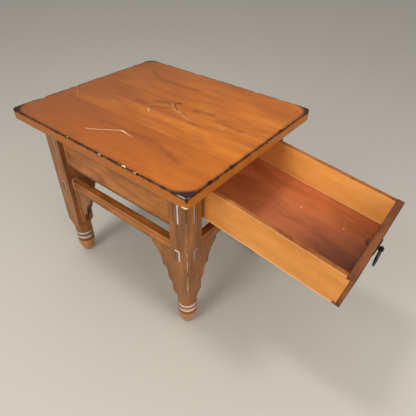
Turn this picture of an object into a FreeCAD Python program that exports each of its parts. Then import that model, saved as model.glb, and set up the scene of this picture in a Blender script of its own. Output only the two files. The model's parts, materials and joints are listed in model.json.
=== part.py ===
import FreeCAD, Part
import math
import os
import Sketcher

# A tavern-style end table, in millimetres. +Z is up and the floor is Z = 0. +X is the way the drawer pulls
# out, so the drawer end is the front, and -Y is the left side of someone facing the drawer.
# At rest the drawer stands pulled out and tipped a little over its roller, and the ring hangs plumb.
# The origin lies on the floor below the middle of the whole outline at rest.

SIZES = (
    ("top_length", 705, "top along the drawer"),
    ("top_width", 597, "top across the drawer"),
    ("top_thick", 31.5, "slab"),
    ("table_height", 610, "floor to top surface"),
    ("corner_round", 20, "slab corners in plan"),
    ("edge_round", 4, "slab upper arris"),
    ("under_edge_round", 2.5, "slab lower arris"),
    ("leg_size", 65, "square of a leg"),
    ("overhang_x", 52.5, "slab beyond the legs at the ends"),
    ("overhang_y", 55.5, "slab beyond the legs at the sides"),
    ("leg_arris", 2, "softened leg corners"),
    ("turned_height", 162, "where the square of a leg begins"),
    ("toe_radius", 16.5, "foot on the floor"),
    ("toe_bevel", 2.5, "worn lower edge of the foot"),
    ("ankle_radius", 31.5, "widest of the tapering toe"),
    ("ankle_height", 66, "top of the tapering toe"),
    ("quirk_radius", 26.6, "grooves beside the rings"),
    ("ring_height", 18.5, "one turned ring"),
    ("ring_swell", 5.6, "ring beyond the grooves"),
    ("ring_gap", 3.5, "groove between the rings"),
    ("neck_radius", 31.5, "turned neck above the rings"),
    ("neck_height", 126, "top of the straight neck"),
    ("rail_setback", 14.5, "rails behind the outer leg faces"),
    ("rail_thick", 22, "aprons and stretchers"),
    ("apron_height", 173, "apron below the slab"),
    ("apron_round", 14, "rounded lower edge of an apron"),
    ("end_round", 4, "eased edges of aprons and brackets beside the legs"),
    ("stretcher_gap", 47.5, "between apron and stretcher"),
    ("stretcher_height", 42, "stretcher"),
    ("stretcher_arris", 2.5, "softened upper front edge"),
    ("line_drop", 15, "scratched line below the stretcher top"),
    ("line_half", 1.6, "half the width of the scratched line"),
    ("line_depth", 2, "depth of the scratched line"),
    ("tenon_thick", 10, "tenons of the rails"),
    ("tenon_apart", 4.5, "between two tenons that meet in a leg"),
    ("apron_shoulder", 20, "tenon inside the apron's edges"),
    ("stretcher_shoulder", 6, "tenon inside the stretcher's edges"),
    ("joint_play", 0.1, "room round tenons, dowels and screws"),
    ("hole_spare", 1, "blind holes deeper than what fills them"),
    ("bracket_width", 88, "bracket along its stretcher"),
    ("bracket_clear", 6, "between bracket and turned foot"),
    ("bracket_thick", 18, "bracket board"),
    ("bracket_waist", 49.5, "foot of the upper scroll"),
    ("bracket_step", 0.595, "share of the bracket's height above the step"),
    ("bracket_fillet", 0.027, "share of the short upright before each step"),
    ("bracket_bend", 0.3, "share of the upper scroll above its bend"),
    ("bracket_hollow", 0.2, "share of the hollow below the step"),
    ("bracket_shelf", 11.5, "width of that step"),
    ("bracket_ankle", 29.5, "narrow part of the lower scroll"),
    ("bracket_tail", 15, "end of the lower scroll"),
    ("bracket_toe", 10, "last step beside the leg"),
    ("dowel_radius", 4, "bracket dowel"),
    ("dowel_half", 15, "dowel in each piece"),
    ("dowel_place", 44, "dowel from the leg"),
    ("cap_width", 18, "tenon cap"),
    ("cap_inboard", 4, "caps off the middle of the leg"),
    ("cap_proud", 3, "cap beyond the leg"),
    ("cap_let_in", 5, "cap inside the leg"),
    ("cap_bevel", 2.4, "bevel round a cap"),
    ("upper_cap_rise", 48.5, "upper cap above the apron's lower edge"),
    ("upper_cap_drop", 18.5, "upper cap below the slab"),
    ("lower_cap_drop", 6, "lower cap below the stretcher's lower edge"),
    ("lower_cap_height", 41, "lower cap"),
    ("top_rail_width", 44, "rail above the drawer"),
    ("top_rail_thick", 20, "rail above the drawer"),
    ("tail_length", 20, "dovetail of that rail in the leg"),
    ("tail_neck", 20, "narrow end of the dovetail"),
    ("tail_flare", 4, "dovetail wider at its end, each side"),
    ("roller_radius", 12, "drawer roller"),
    ("roller_inboard", 5.5, "roller behind the middle of the front legs"),
    ("roller_rise", 31.5, "roller axis above the aprons' lower edges"),
    ("roller_let_in", 15, "socket in the leg"),
    ("moving_gap", 0.3, "room between pieces that move on each other"),
    ("runner_width", 56, "drawer runner"),
    ("runner_thick", 20, "drawer runner"),
    ("guide_height", 25, "strip beside the drawer"),
    ("guide_proud", 2, "strip beyond the inner leg faces"),
    ("stop_width", 40, "drawer stop"),
    ("stop_height", 45, "drawer stop"),
    ("stop_rise", 20, "drawer stop above the runner"),
    ("stop_spread", 200, "between the drawer stops"),
    ("block_length", 50, "block under the slab"),
    ("block_width", 26, "block under the slab"),
    ("block_height", 30, "block under the slab"),
    ("block_end_room", 45, "between the end blocks and the legs"),
    ("screw_radius", 2.5, "screw into the slab"),
    ("screw_head_radius", 5, "its head"),
    ("screw_head_height", 3, "its head"),
    ("screw_crown_radius", 3, "flat of its head"),
    ("screw_head_rim", 1.2, "upright rim of its head"),
    ("screw_bite", 20, "screw in the slab"),
    ("drawer_side_room", 5.5, "between drawer and front legs"),
    ("drawer_head_room", 5.2, "between closed drawer and top rail"),
    ("drawer_rear_room", 24, "between closed drawer and rear apron"),
    ("drawer_kept_in", 87.2, "of the drawer behind the roller axis at rest"),
    ("drawer_tip", 7.3, "degrees tipped at rest"),
    ("front_thick", 20, "drawer front"),
    ("front_lap", 11, "front left outside the dovetails"),
    ("side_thick", 14, "drawer sides and back"),
    ("side_round", 4, "rounded upper edges of the drawer sides"),
    ("pin_half", 10, "half pin above and below the dovetail"),
    ("pin_slope", 1.5, "flare of the dovetail"),
    ("bottom_thick", 6, "drawer bottom"),
    ("bottom_rise", 5, "drawer bottom above the lower edge"),
    ("groove_depth", 6, "grooves for bottom and back"),
    ("groove_play", 0.2, "room in those grooves"),
    ("back_inset", 15, "back inside the ends of the sides"),
    ("back_drop", 6, "back below the sides"),
    ("pull_drop", 36, "pull below the top of the front"),
    ("rosette_radius", 23.5, "round plate of the pull"),
    ("rosette_rim", 1.2, "plate at its rim"),
    ("rosette_boss_radius", 9, "raised middle of the plate"),
    ("rosette_boss_height", 3, "raised middle of the plate"),
    ("shank_radius", 4, "bolt of the pull"),
    ("shank_length", 30, "bolt behind the face of the front"),
    ("neck_of_eye_radius", 4.8, "post between plate and eye"),
    ("eye_reach", 9.5, "eye in front of the drawer face"),
    ("eye_radius", 7, "eye"),
    ("eye_thick", 6, "eye"),
    ("ring_wire_radius", 3, "ring"),
    ("ring_middle_radius", 25.5, "ring"),
    ("eye_play", 0.55, "room round the ring in the eye"),
    ("washer_radius", 9, "washer inside the drawer"),
    ("washer_thick", 1.5, "washer inside the drawer"),
    ("nut_flats", 13, "nut across its flats"),
    ("nut_thick", 6, "nut"),
)


class Dim:
    """A length held both as a formula on the sheet and as its present value."""

    def __init__(self, text, value):
        self.text = text
        self.value = value

    @staticmethod
    def of(other):
        return other if isinstance(other, Dim) else Dim(repr(float(other)), float(other))

    def join(self, sign, other, value):
        return Dim(f"({self.text} {sign} {other.text})", value)

    def __add__(self, other):
        other = Dim.of(other)
        return self.join("+", other, self.value + other.value)

    def __sub__(self, other):
        other = Dim.of(other)
        return self.join("-", other, self.value - other.value)

    def __rsub__(self, other):
        return Dim.of(other) - self

    def __mul__(self, other):
        other = Dim.of(other)
        return self.join("*", other, self.value * other.value)

    def __truediv__(self, other):
        other = Dim.of(other)
        return self.join("/", other, self.value / other.value)

    def __neg__(self):
        return Dim(f"(0 - {self.text})", -self.value)

    def turned(self, function):
        """The sine or cosine of this number of degrees."""
        value = getattr(math, function)(math.radians(self.value))
        return Dim(f"{function}({self.text} * 1 deg)", value)


doc = FreeCAD.newDocument("tavern_table")
sheet = doc.addObject("Spreadsheet::Sheet", "Sizes")
size = {}
for row, (alias, number, note) in enumerate(SIZES, 1):
    sheet.set(f"A{row}", note)
    sheet.set(f"B{row}", str(number))
    sheet.setAlias(f"B{row}", alias)
    size[alias] = Dim(f"Sizes.{alias}", float(number))
doc.recompute()
parts = []


def bind(thing, path, length):
    """Ties one property of a thing to a length."""
    thing.setExpression(path, Dim.of(length).text)


def bind_place(thing, x, y, z):
    for axis, length in zip("xyz", (x, y, z)):
        bind(thing, f"Placement.Base.{axis}", length)


def keep(thing, label):
    """Names a finished piece and lists it for export."""
    thing.Label = label
    parts.append(thing)
    return thing


def new_body(label, place=(0, 0, 0), quarter_turns=0):
    """A body standing at a place of the table's own frame, turned about Z by quarter turns."""
    body = doc.addObject("PartDesign::Body", label)
    body.AllowCompound = True
    body.Placement.Rotation = FreeCAD.Rotation(FreeCAD.Vector(0, 0, 1), 90 * quarter_turns)
    x, y, z = (Dim.of(length) for length in place)
    bind_place(body, x - origin_shift, y, z)
    return body


def drawer_body(label):
    """A body in the drawer's frame, with X = 0 at the front face and Z = 0 at the lower edge."""
    body = doc.addObject("PartDesign::Body", label)
    body.AllowCompound = True
    tip_with_drawer(body)
    return body


def tip_with_drawer(thing, x=0, z=0):
    """Stands a thing at a point of the drawer's frame, tipped with the drawer."""
    thing.Placement.Rotation = FreeCAD.Rotation(FreeCAD.Vector(0, 1, 0), size["drawer_tip"].value)
    bind(thing, "Placement.Rotation.Angle", size["drawer_tip"])
    at_x, at_z = drawer_point(x, z)
    bind_place(thing, at_x, 0, at_z)


def drawer_point(x, z):
    """Where a point of the drawer's middle plane stands at rest."""
    along = drawer_out + x
    above = size["roller_radius"] + size["moving_gap"] + z
    at_x = roller_x - origin_shift + along * tip_cos + above * tip_sin
    at_z = roller_height - along * tip_sin + above * tip_cos
    return at_x, at_z


def new_sketch(body, name, role, lift=None):
    """A sketch on one of the body's own origin planes, lifted off it where a lift is given."""
    sketch = body.newObject("Sketcher::SketchObject", name)
    plane = next(item for item in body.Origin.OriginFeatures if item.Role == role)
    sketch.AttachmentSupport = [(plane, "")]
    sketch.MapMode = "FlatFace"
    if lift is not None:
        bind(sketch, "AttachmentOffset.Base.z", lift)
    return sketch


def pin_point(sketch, geometry, end, x, y):
    """Ties one end of a sketch line to its two coordinates."""
    for kind, length in (("DistanceX", x), ("DistanceY", y)):
        length = Dim.of(length)
        index = sketch.addConstraint(Sketcher.Constraint(kind, -1, 1, geometry, end, length.value))
        bind(sketch, f"Constraints[{index}]", length)


def arc_between(start, end, radius):
    """The short arc between two points; a radius above zero runs counter-clockwise."""
    chord = end - start
    rise = math.sqrt(max(radius ** 2 - chord.Length ** 2 / 4, 0)) * math.copysign(1, radius)
    across = FreeCAD.Vector(-chord.y, chord.x, 0).normalize()
    centre = (start + end) / 2 + across * rise
    first, last = (start, end) if radius > 0 else (end, start)
    angles = [math.atan2(point.y - centre.y, point.x - centre.x) for point in (first, last)]
    circle = Part.Circle(centre, FreeCAD.Vector(0, 0, 1), abs(radius))
    return Part.ArcOfCircle(circle, *angles)


def draw(sketch, corners):
    """A closed outline through (x, y) corners; a third value curves the side to the next corner."""
    points = [FreeCAD.Vector(Dim.of(corner[0]).value, Dim.of(corner[1]).value, 0) for corner in corners]
    ends = []
    for number, corner in enumerate(corners):
        start, end = points[number], points[(number + 1) % len(points)]
        if len(corner) == 3:
            side = sketch.addGeometry(arc_between(start, end, corner[2].value), False)
            ends.append((side, 1, 2) if corner[2].value > 0 else (side, 2, 1))
        else:
            side = sketch.addGeometry(Part.LineSegment(start, end), False)
            ends.append((side, 1, 2))
    for number, (side, start, end) in enumerate(ends):
        follower, follower_start, _ = ends[(number + 1) % len(ends)]
        sketch.addConstraint(Sketcher.Constraint("Coincident", side, end, follower, follower_start))
        pin_point(sketch, side, start, corners[number][0], corners[number][1])
        if len(corners[number]) == 3:
            radius = corners[number][2] if corners[number][2].value > 0 else -corners[number][2]
            index = sketch.addConstraint(Sketcher.Constraint("Radius", side, radius.value))
            bind(sketch, f"Constraints[{index}]", radius)


def draw_box(sketch, x0, y0, x1, y1):
    draw(sketch, [(x0, y0), (x1, y0), (x1, y1), (x0, y1)])


def draw_circle(sketch, x, y, radius):
    middle = FreeCAD.Vector(Dim.of(x).value, Dim.of(y).value, 0)
    circle = Part.Circle(middle, FreeCAD.Vector(0, 0, 1), radius.value)
    side = sketch.addGeometry(circle, False)
    pin_point(sketch, side, 3, x, y)
    index = sketch.addConstraint(Sketcher.Constraint("Radius", side, radius.value))
    bind(sketch, f"Constraints[{index}]", radius)


def pad(body, sketch, length, side="One side", reverse=False):
    feature = body.newObject("PartDesign::Pad", sketch.Name + "_pad")
    feature.Profile = sketch
    feature.SideType = side
    feature.Reversed = reverse
    bind(feature, "Length", length)
    doc.recompute()
    return feature


def cut_into(body, sketch, depth):
    """Pockets a sketch on whichever side of it the body's material lies."""
    least_cut = 1
    still_whole = body.Shape.Volume - least_cut
    feature = body.newObject("PartDesign::Pocket", sketch.Name + "_pocket")
    feature.Profile = sketch
    bind(feature, "Length", depth)
    doc.recompute()
    if feature.Shape.Volume > still_whole:
        feature.Reversed = True
        doc.recompute()
    if feature.Shape.Volume > still_whole:
        raise RuntimeError(sketch.Name + " cuts nothing")
    return feature


def spin(body, sketch, kind, axis):
    """Turns a sketch a full turn about one of its own axes, to add or to cut."""
    feature = body.newObject("PartDesign::" + kind, sketch.Name + "_spun")
    feature.Profile = sketch
    feature.ReferenceAxis = (sketch, [axis])
    feature.Angle = 360
    doc.recompute()
    return feature


def box_feature(body, name, kind, x_span, y_span, z_span):
    """A box added to or taken from a body, given by its spans along the body's axes."""
    feature = body.newObject("PartDesign::" + kind, name)
    spans = [(Dim.of(low), Dim.of(high)) for low, high in (x_span, y_span, z_span)]
    for path, (low, high) in zip(("Length", "Width", "Height"), spans):
        bind(feature, path, high - low)
    bind_place(feature, *(low for low, high in spans))
    doc.recompute()
    return feature


def round_hole(body, name, x, y, z, radius, depth, axis=(0, 0, 1)):
    """A round hole from a point along an axis."""
    feature = body.newObject("PartDesign::SubtractiveCylinder", name)
    feature.Placement.Rotation = FreeCAD.Rotation(FreeCAD.Vector(0, 0, 1), FreeCAD.Vector(*axis))
    bind(feature, "Radius", radius)
    bind(feature, "Height", depth)
    bind_place(feature, x, y, z)
    doc.recompute()
    return feature


def soften(body, kind, name, length, chosen):
    """Fillets or chamfers the edges of the body's last feature that a test chooses."""
    tip = body.Tip
    names = [f"Edge{number}" for number, edge in enumerate(tip.Shape.Edges, 1) if chosen(edge)]
    feature = body.newObject("PartDesign::" + kind, name)
    feature.Base = (tip, names)
    bind(feature, "Radius" if kind == "Fillet" else "Size", length)
    doc.recompute()
    return feature


def runs_along(edge, axis):
    """True for a straight edge along one axis."""
    if edge.Curve.TypeId != "Part::GeomLine":
        return False
    return abs(abs(getattr(edge.Curve.Direction, axis)) - 1) < 1e-6


def lies_at(edge, axis, level):
    """True for an edge that lies whole at one level of an axis."""
    low, high = (getattr(edge.BoundBox, axis.upper() + end) for end in ("Min", "Max"))
    return abs(low - level) < 1e-3 and abs(high - level) < 1e-3


def mirrored(source, label, axis):
    """A mirror image across the table's own middle plane."""
    image = doc.addObject("Part::Mirroring", label)
    image.Source = source
    image.Normal = FreeCAD.Vector(axis == "x", axis == "y", 0)
    bind(image, "Base.x", -origin_shift)
    return image


def grouped(things, label):
    """Like pieces held in one node."""
    group = doc.addObject("Part::Compound", label)
    group.Links = things
    return group


def plain_box(label, x_span, y_span, z_span):
    """A plain sawn piece, given by its spans in the table's own frame."""
    box = doc.addObject("Part::Box", label)
    spans = [(Dim.of(low), Dim.of(high)) for low, high in (x_span, y_span, z_span)]
    for path, (low, high) in zip(("Length", "Width", "Height"), spans):
        bind(box, path, high - low)
    (x, _), (y, _), (z, _) = spans
    bind_place(box, x - origin_shift, y, z)
    return box


# Places that several pieces share.
tip_cos = size["drawer_tip"].turned("cos")
tip_sin = size["drawer_tip"].turned("sin")
half_leg = size["leg_size"] / 2
leg_height = size["table_height"] - size["top_thick"]
outer_x = size["top_length"] / 2 - size["overhang_x"]
outer_y = size["top_width"] / 2 - size["overhang_y"]
inner_x = outer_x - size["leg_size"]
inner_y = outer_y - size["leg_size"]
rail_face_x = outer_x - size["rail_setback"]
rail_face_y = outer_y - size["rail_setback"]
rail_back_x = rail_face_x - size["rail_thick"]
rail_back_y = rail_face_y - size["rail_thick"]
apron_foot = leg_height - size["apron_height"]
stretcher_top = apron_foot - size["stretcher_gap"]
stretcher_foot = stretcher_top - size["stretcher_height"]
bracket_height = stretcher_foot - size["turned_height"] - size["bracket_clear"]
rail_middle = half_leg - size["rail_setback"] - size["rail_thick"] / 2
tenon_length = half_leg + rail_middle - size["tenon_thick"] / 2 - size["tenon_apart"]
roller_x = outer_x - half_leg - size["roller_inboard"]
roller_height = apron_foot + size["roller_rise"]
runner_top = roller_height + size["roller_radius"]
drawer_width = (inner_y - size["drawer_side_room"]) * 2
drawer_height = (leg_height - size["top_rail_thick"] - size["drawer_head_room"]
                 - runner_top - size["moving_gap"])
drawer_depth = rail_face_x + rail_back_x - size["drawer_rear_room"]
drawer_out = drawer_depth - size["drawer_kept_in"]

# The outline at rest runs from the rear edge of the slab to the outside of the eye.
eye_out = size["eye_reach"] + size["eye_radius"]
rest_reach = (roller_x + (drawer_out + eye_out) * tip_cos
              + (size["roller_radius"] + drawer_height - size["pull_drop"]) * tip_sin)
origin_shift = (rest_reach - size["top_length"] / 2) / 2


def make_top():
    """The slab, with blind holes below for the screws that hold it."""
    body = new_body("table_top", (0, 0, leg_height))
    plan = new_sketch(body, "slab_plan", "XY_Plane")
    half_length, half_width = size["top_length"] / 2, size["top_width"] / 2
    draw_box(plan, -half_length, -half_width, half_length, half_width)
    pad(body, plan, size["top_thick"])
    soften(body, "Fillet", "slab_corners", size["corner_round"], lambda edge: runs_along(edge, "z"))
    upper = size["top_thick"].value
    soften(body, "Fillet", "slab_upper_edge", size["edge_round"], lambda edge: lies_at(edge, "z", upper))
    soften(body, "Fillet", "slab_lower_edge", size["under_edge_round"], lambda edge: lies_at(edge, "z", 0))
    holes = new_sketch(body, "slab_holes", "XY_Plane")
    for along in (-1, 0, 1):
        for side in (-1, 1):
            draw_circle(holes, block_pitch * along, block_middle * side, screw_room)
    cut_into(body, holes, size["screw_bite"] + size["hole_spare"])
    return keep(body, "table_top")


def arc_radius(run, rise):
    """The radius of an arc that starts upright and ends run aside and rise along."""
    return (run * run + rise * rise) / (run * 2)


def foot_outline():
    """What the lathe takes off below the square of a leg, as radius and height."""
    taper = arc_radius(size["ankle_radius"] - size["toe_radius"], size["ankle_height"] - size["toe_bevel"])
    bead = arc_radius(size["ring_swell"], size["ring_height"] / 2)
    corner = half_leg * math.sqrt(2)
    cove = arc_radius(corner - size["neck_radius"], size["turned_height"] - size["neck_height"])
    quirk = size["ring_gap"] / 2
    lower_ring = size["ankle_height"] + quirk
    upper_ring = lower_ring + size["ring_height"] + size["ring_gap"]
    neck_foot = upper_ring + size["ring_height"] + quirk
    outside = size["leg_size"]
    return [
        (size["toe_radius"] - size["toe_bevel"], 0),
        (size["toe_radius"], size["toe_bevel"], taper),
        (size["ankle_radius"], size["ankle_height"]),
        (size["quirk_radius"], lower_ring, bead),
        (size["quirk_radius"], lower_ring + size["ring_height"]),
        (size["quirk_radius"], upper_ring, bead),
        (size["quirk_radius"], upper_ring + size["ring_height"]),
        (size["quirk_radius"], neck_foot),
        (size["neck_radius"], neck_foot + quirk),
        (size["neck_radius"], size["neck_height"], -cove),
        (corner, size["turned_height"]),
        (outside, size["turned_height"]),
        (outside, 0),
    ]


def make_leg(label, end):
    """A left leg; end is 1 for the drawer end and -1 for the rear."""
    body = new_body(label, ((outer_x - half_leg) * end, -(outer_y - half_leg), 0))
    square = new_sketch(body, label + "_square", "XY_Plane")
    draw_box(square, -half_leg, -half_leg, half_leg, half_leg)
    pad(body, square, leg_height)
    soften(body, "Chamfer", label + "_arrises", size["leg_arris"], lambda edge: runs_along(edge, "z"))
    turning = new_sketch(body, label + "_turning", "XZ_Plane")
    draw(turning, foot_outline())
    spin(body, turning, "Groove", "V_Axis")

    def take(name, x_span, y_span, z_span):
        """Cuts a box given for the front leg, mirrored for the rear one."""
        x_span = x_span if end > 0 else (-x_span[1], -x_span[0])
        box_feature(body, f"{label}_{name}", "SubtractiveBox", x_span, y_span, z_span)

    play = size["joint_play"]
    cheek = size["tenon_thick"] / 2 + play
    side_slot = (-rail_middle - cheek, -rail_middle + cheek)
    end_slot = (rail_middle - cheek, rail_middle + cheek)
    apron_span = (apron_foot + size["apron_shoulder"] - play, leg_height - size["apron_shoulder"] + play)
    stretcher_span = (stretcher_foot + size["stretcher_shoulder"] - play,
                      stretcher_top - size["stretcher_shoulder"] + play)
    slot_floor = half_leg - tenon_length - play
    take("side_apron", (-half_leg, -slot_floor), side_slot, apron_span)
    take("side_stretcher", (-half_leg, -slot_floor), side_slot, stretcher_span)
    take("end_stretcher", end_slot, (slot_floor, half_leg), stretcher_span)
    if end > 0:
        round_hole(body, label + "_socket", -size["roller_inboard"], half_leg, roller_height,
                   size["roller_radius"] + size["moving_gap"], size["roller_let_in"], (0, -1, 0))
        notch = new_sketch(body, label + "_notch", "XY_Plane", leg_height)
        draw(notch, dovetail(size["joint_play"]))
        cut_into(body, notch, size["top_rail_thick"])
    else:
        take("end_apron", end_slot, (slot_floor, half_leg), apron_span)
    for name, foot, height in cap_spans:
        reach = size["cap_width"] / 2 + play
        tall = (foot - play, foot + height + play)
        middle = size["cap_inboard"]
        floor = half_leg - size["cap_let_in"]
        take("side_" + name, (-middle - reach, -middle + reach), (-half_leg, -floor), tall)
        take("end_" + name, (floor, half_leg), (middle - reach, middle + reach), tall)
    return keep(body, label)


def dovetail(play):
    """The top rail's dovetail in plan, in the front left leg's frame."""
    face = half_leg
    middle = half_leg - size["rail_setback"] - size["top_rail_width"] / 2
    neck = size["tail_neck"] / 2 + play
    wide = neck + size["tail_flare"]
    deep = face - size["tail_length"] - play
    return [(middle - neck, face), (middle - wide, deep), (middle + wide, deep), (middle + neck, face)]


def make_apron(label, length, place, quarter_turns):
    """An apron with its show face towards -Y of its own frame and its upper edge under the slab."""
    body = new_body(label, place, quarter_turns)
    end_view = new_sketch(body, label + "_section", "YZ_Plane")
    draw_box(end_view, 0, 0, size["rail_thick"], size["apron_height"])
    pad(body, end_view, length, "Symmetric")
    soften(body, "Fillet", label + "_lower_edge", size["apron_round"],
           lambda edge: runs_along(edge, "x") and lies_at(edge, "y", 0) and lies_at(edge, "z", 0))
    soften(body, "Fillet", label + "_ends", size["end_round"],
           lambda edge: runs_along(edge, "z") and lies_at(edge, "y", 0))
    add_tenons(body, label, length, size["apron_shoulder"], size["apron_height"])
    return keep(body, label)


def add_tenons(body, label, length, shoulder, height):
    """A plain tenon on each end of a rail."""
    middle = size["rail_thick"] / 2
    cheek = size["tenon_thick"] / 2
    shoulder_at, tip_at = length / 2, length / 2 + tenon_length
    for name, span in (("first", (-tip_at, -shoulder_at)), ("last", (shoulder_at, tip_at))):
        box_feature(body, f"{label}_{name}_tenon", "AdditiveBox", span, (middle - cheek, middle + cheek),
                    (shoulder, height - shoulder))


def make_stretcher(label, length, place, quarter_turns):
    """A stretcher with a scratched line on its show face and dowel holes below."""
    body = new_body(label, place, quarter_turns)
    end_view = new_sketch(body, label + "_section", "YZ_Plane")
    line = size["stretcher_height"] - size["line_drop"]
    draw(end_view, [
        (0, 0), (size["rail_thick"], 0), (size["rail_thick"], size["stretcher_height"]),
        (size["stretcher_arris"], size["stretcher_height"], size["stretcher_arris"]),
        (0, size["stretcher_height"] - size["stretcher_arris"]),
        (0, line + size["line_half"]), (size["line_depth"], line), (0, line - size["line_half"]),
    ])
    pad(body, end_view, length, "Symmetric")
    add_tenons(body, label, length, size["stretcher_shoulder"], size["stretcher_height"])
    for name, sign in (("first", -1), ("last", 1)):
        round_hole(body, f"{label}_{name}_hole", (length / 2 - size["dowel_place"]) * sign,
                   size["bracket_thick"] / 2, 0, dowel_room, size["dowel_half"] + size["hole_spare"])
    return keep(body, label)


def bracket_outline():
    """The stepped scroll, as distance from the leg and height against the stretcher's underside."""
    fillet = bracket_height * size["bracket_fillet"]
    step = bracket_height * size["bracket_step"]
    fall = step - fillet
    run = size["bracket_width"] - size["bracket_waist"]
    scroll = arc_radius(run, fall)
    bend = (size["bracket_width"] - run * size["bracket_bend"], -fall * size["bracket_bend"])
    shelf_end = size["bracket_waist"] - size["bracket_shelf"]
    hollow_fall = bracket_height * size["bracket_hollow"]
    hollow_foot = -step - hollow_fall
    hollow = arc_radius(shelf_end - size["bracket_ankle"], hollow_fall)
    swell_top = hollow_foot - fillet
    swell_foot = fillet - bracket_height
    swell = arc_radius(size["bracket_ankle"] - size["bracket_tail"], swell_top - swell_foot)
    return [
        (0, 0),
        (0, -bracket_height),
        (size["bracket_toe"], -bracket_height),
        (size["bracket_toe"], swell_foot),
        (size["bracket_tail"], swell_foot, swell),
        (size["bracket_ankle"], swell_top),
        (size["bracket_ankle"], hollow_foot, -hollow),
        (shelf_end, -step),
        (size["bracket_waist"], -step),
        (size["bracket_waist"], -fall, scroll * size["bracket_bend"] - scroll),
        (*bend, scroll * size["bracket_bend"]),
        (size["bracket_width"], 0),
    ]


def make_bracket(label, place, quarter_turns):
    """A bracket standing against a leg at X = 0 of its own frame, below a stretcher."""
    body = new_body(label, place, quarter_turns)
    face = new_sketch(body, label + "_scroll", "XZ_Plane")
    draw(face, bracket_outline())
    pad(body, face, size["bracket_thick"], reverse=True)
    soften(body, "Fillet", label + "_leg_edge", size["end_round"],
           lambda edge: runs_along(edge, "z") and lies_at(edge, "x", 0) and lies_at(edge, "y", 0))
    round_hole(body, label + "_hole", size["dowel_place"], size["bracket_thick"] / 2, 0, dowel_room,
               size["dowel_half"] + size["hole_spare"], (0, 0, -1))
    return keep(body, label)


def make_dowel(name, place, quarter_turns):
    """The dowel between a bracket and its stretcher."""
    body = new_body(name, place, quarter_turns)
    ring = new_sketch(body, name + "_round", "XY_Plane")
    draw_circle(ring, size["dowel_place"], size["bracket_thick"] / 2, size["dowel_radius"])
    pad(body, ring, size["dowel_half"] * 2, "Symmetric")
    return body


def make_brackets_and_dowels():
    """Eight brackets, and their dowels in one node."""
    corners = (("side", (-inner_x, -rail_face_y, stretcher_foot), 0),
               ("end", (rail_face_x, -inner_y, stretcher_foot), 1))
    dowels = []
    for way, place, turns in corners:
        start = "rear" if way == "side" else "front"
        label = f"bracket_{start}_left_{way}"
        bracket = make_bracket(label, place, turns)
        dowel = make_dowel(f"dowel_{way}", place, turns)
        other = "front" if way == "side" else "rear"
        opposite = keep(mirrored(bracket, label.replace(start, other), "x"), label.replace(start, other))
        opposite_dowel = mirrored(dowel, f"dowel_{way}_{other}", "x")
        for piece, name in ((bracket, start), (opposite, other)):
            right = f"bracket_{name}_right_{way}"
            keep(mirrored(piece, right, "y"), right)
        dowels += [dowel, opposite_dowel]
        dowels += [mirrored(piece, f"{piece.Name}_right", "y") for piece in (dowel, opposite_dowel)]
    keep(grouped(dowels, "bracket_dowels"), "bracket_dowels")


def make_caps(label, foot, height):
    """The proud caps on the two outer faces of each leg, at one height."""
    caps = []
    faces = (("side", (-(outer_x - half_leg) + size["cap_inboard"], -outer_y, foot), 0),
             ("end", (outer_x, -(outer_y - half_leg) + size["cap_inboard"], foot), 1))
    for way, place, turns in faces:
        body = new_body(f"{label}_{way}", place, turns)
        face = new_sketch(body, f"{label}_{way}_face", "XZ_Plane", -size["cap_let_in"])
        draw_box(face, -size["cap_width"] / 2, 0, size["cap_width"] / 2, height)
        pad(body, face, size["cap_let_in"] + size["cap_proud"])
        outside = -size["cap_proud"].value
        soften(body, "Chamfer", f"{label}_{way}_bevel", size["cap_bevel"],
               lambda edge: lies_at(edge, "y", outside))
        opposite = mirrored(body, f"{label}_{way}_opposite", "x")
        caps += [body, opposite]
        caps += [mirrored(piece, f"{piece.Name}_right", "y") for piece in (body, opposite)]
    keep(grouped(caps, label), label)


def make_front_top_rail():
    """The thin rail above the drawer, dovetailed into the tops of the front legs."""
    middle = outer_x - half_leg
    body = new_body("front_top_rail", (middle, 0, leg_height - size["top_rail_thick"]))
    plan = new_sketch(body, "top_rail_plan", "XY_Plane")
    face = half_leg - size["rail_setback"]
    back = face - size["top_rail_width"]
    tail = [(x, y - (outer_y - half_leg)) for x, y in dovetail(Dim.of(0))]
    draw(plan, [(back, -inner_y), *tail, (face, -inner_y), (face, inner_y),
                *[(x, -y) for x, y in reversed(tail)], (back, inner_y)])
    pad(body, plan, size["top_rail_thick"])
    return keep(body, "front_top_rail")


def make_drawer_bearers():
    """Runners, guides and stops inside the frame, and the roller between the front legs."""
    shelf = (runner_top - size["runner_thick"], runner_top)
    runner = plain_box("drawer_runner_left", (-inner_x, inner_x),
                       (-rail_back_y, -rail_back_y + size["runner_width"]), shelf)
    guide = plain_box("drawer_guide_left", (-inner_x, inner_x),
                      (-rail_back_y, -inner_y + size["guide_proud"]),
                      (runner_top, runner_top + size["guide_height"]))
    for piece in (runner, guide):
        keep(piece, piece.Name)
        right = piece.Name.replace("left", "right")
        keep(mirrored(piece, right, "y"), right)
    closed_back = rail_face_x - drawer_depth + size["back_inset"]
    stop_middle, stop_half = -size["stop_spread"] / 2, size["stop_width"] / 2
    stop_foot = runner_top + size["stop_rise"]
    stop = plain_box("drawer_stop", (-rail_back_x, closed_back - size["moving_gap"]),
                     (stop_middle - stop_half, stop_middle + stop_half),
                     (stop_foot, stop_foot + size["stop_height"]))
    keep(grouped([stop, mirrored(stop, "drawer_stop_right", "y")], "drawer_stops"), "drawer_stops")
    roller = doc.addObject("Part::Cylinder", "drawer_roller")
    roller.Placement.Rotation = FreeCAD.Rotation(FreeCAD.Vector(1, 0, 0), -90)
    half_length = inner_y + size["roller_let_in"] - size["moving_gap"]
    bind(roller, "Radius", size["roller_radius"])
    bind(roller, "Height", half_length * 2)
    bind_place(roller, roller_x - origin_shift, -half_length, roller_height)
    keep(roller, "drawer_roller")


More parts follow.
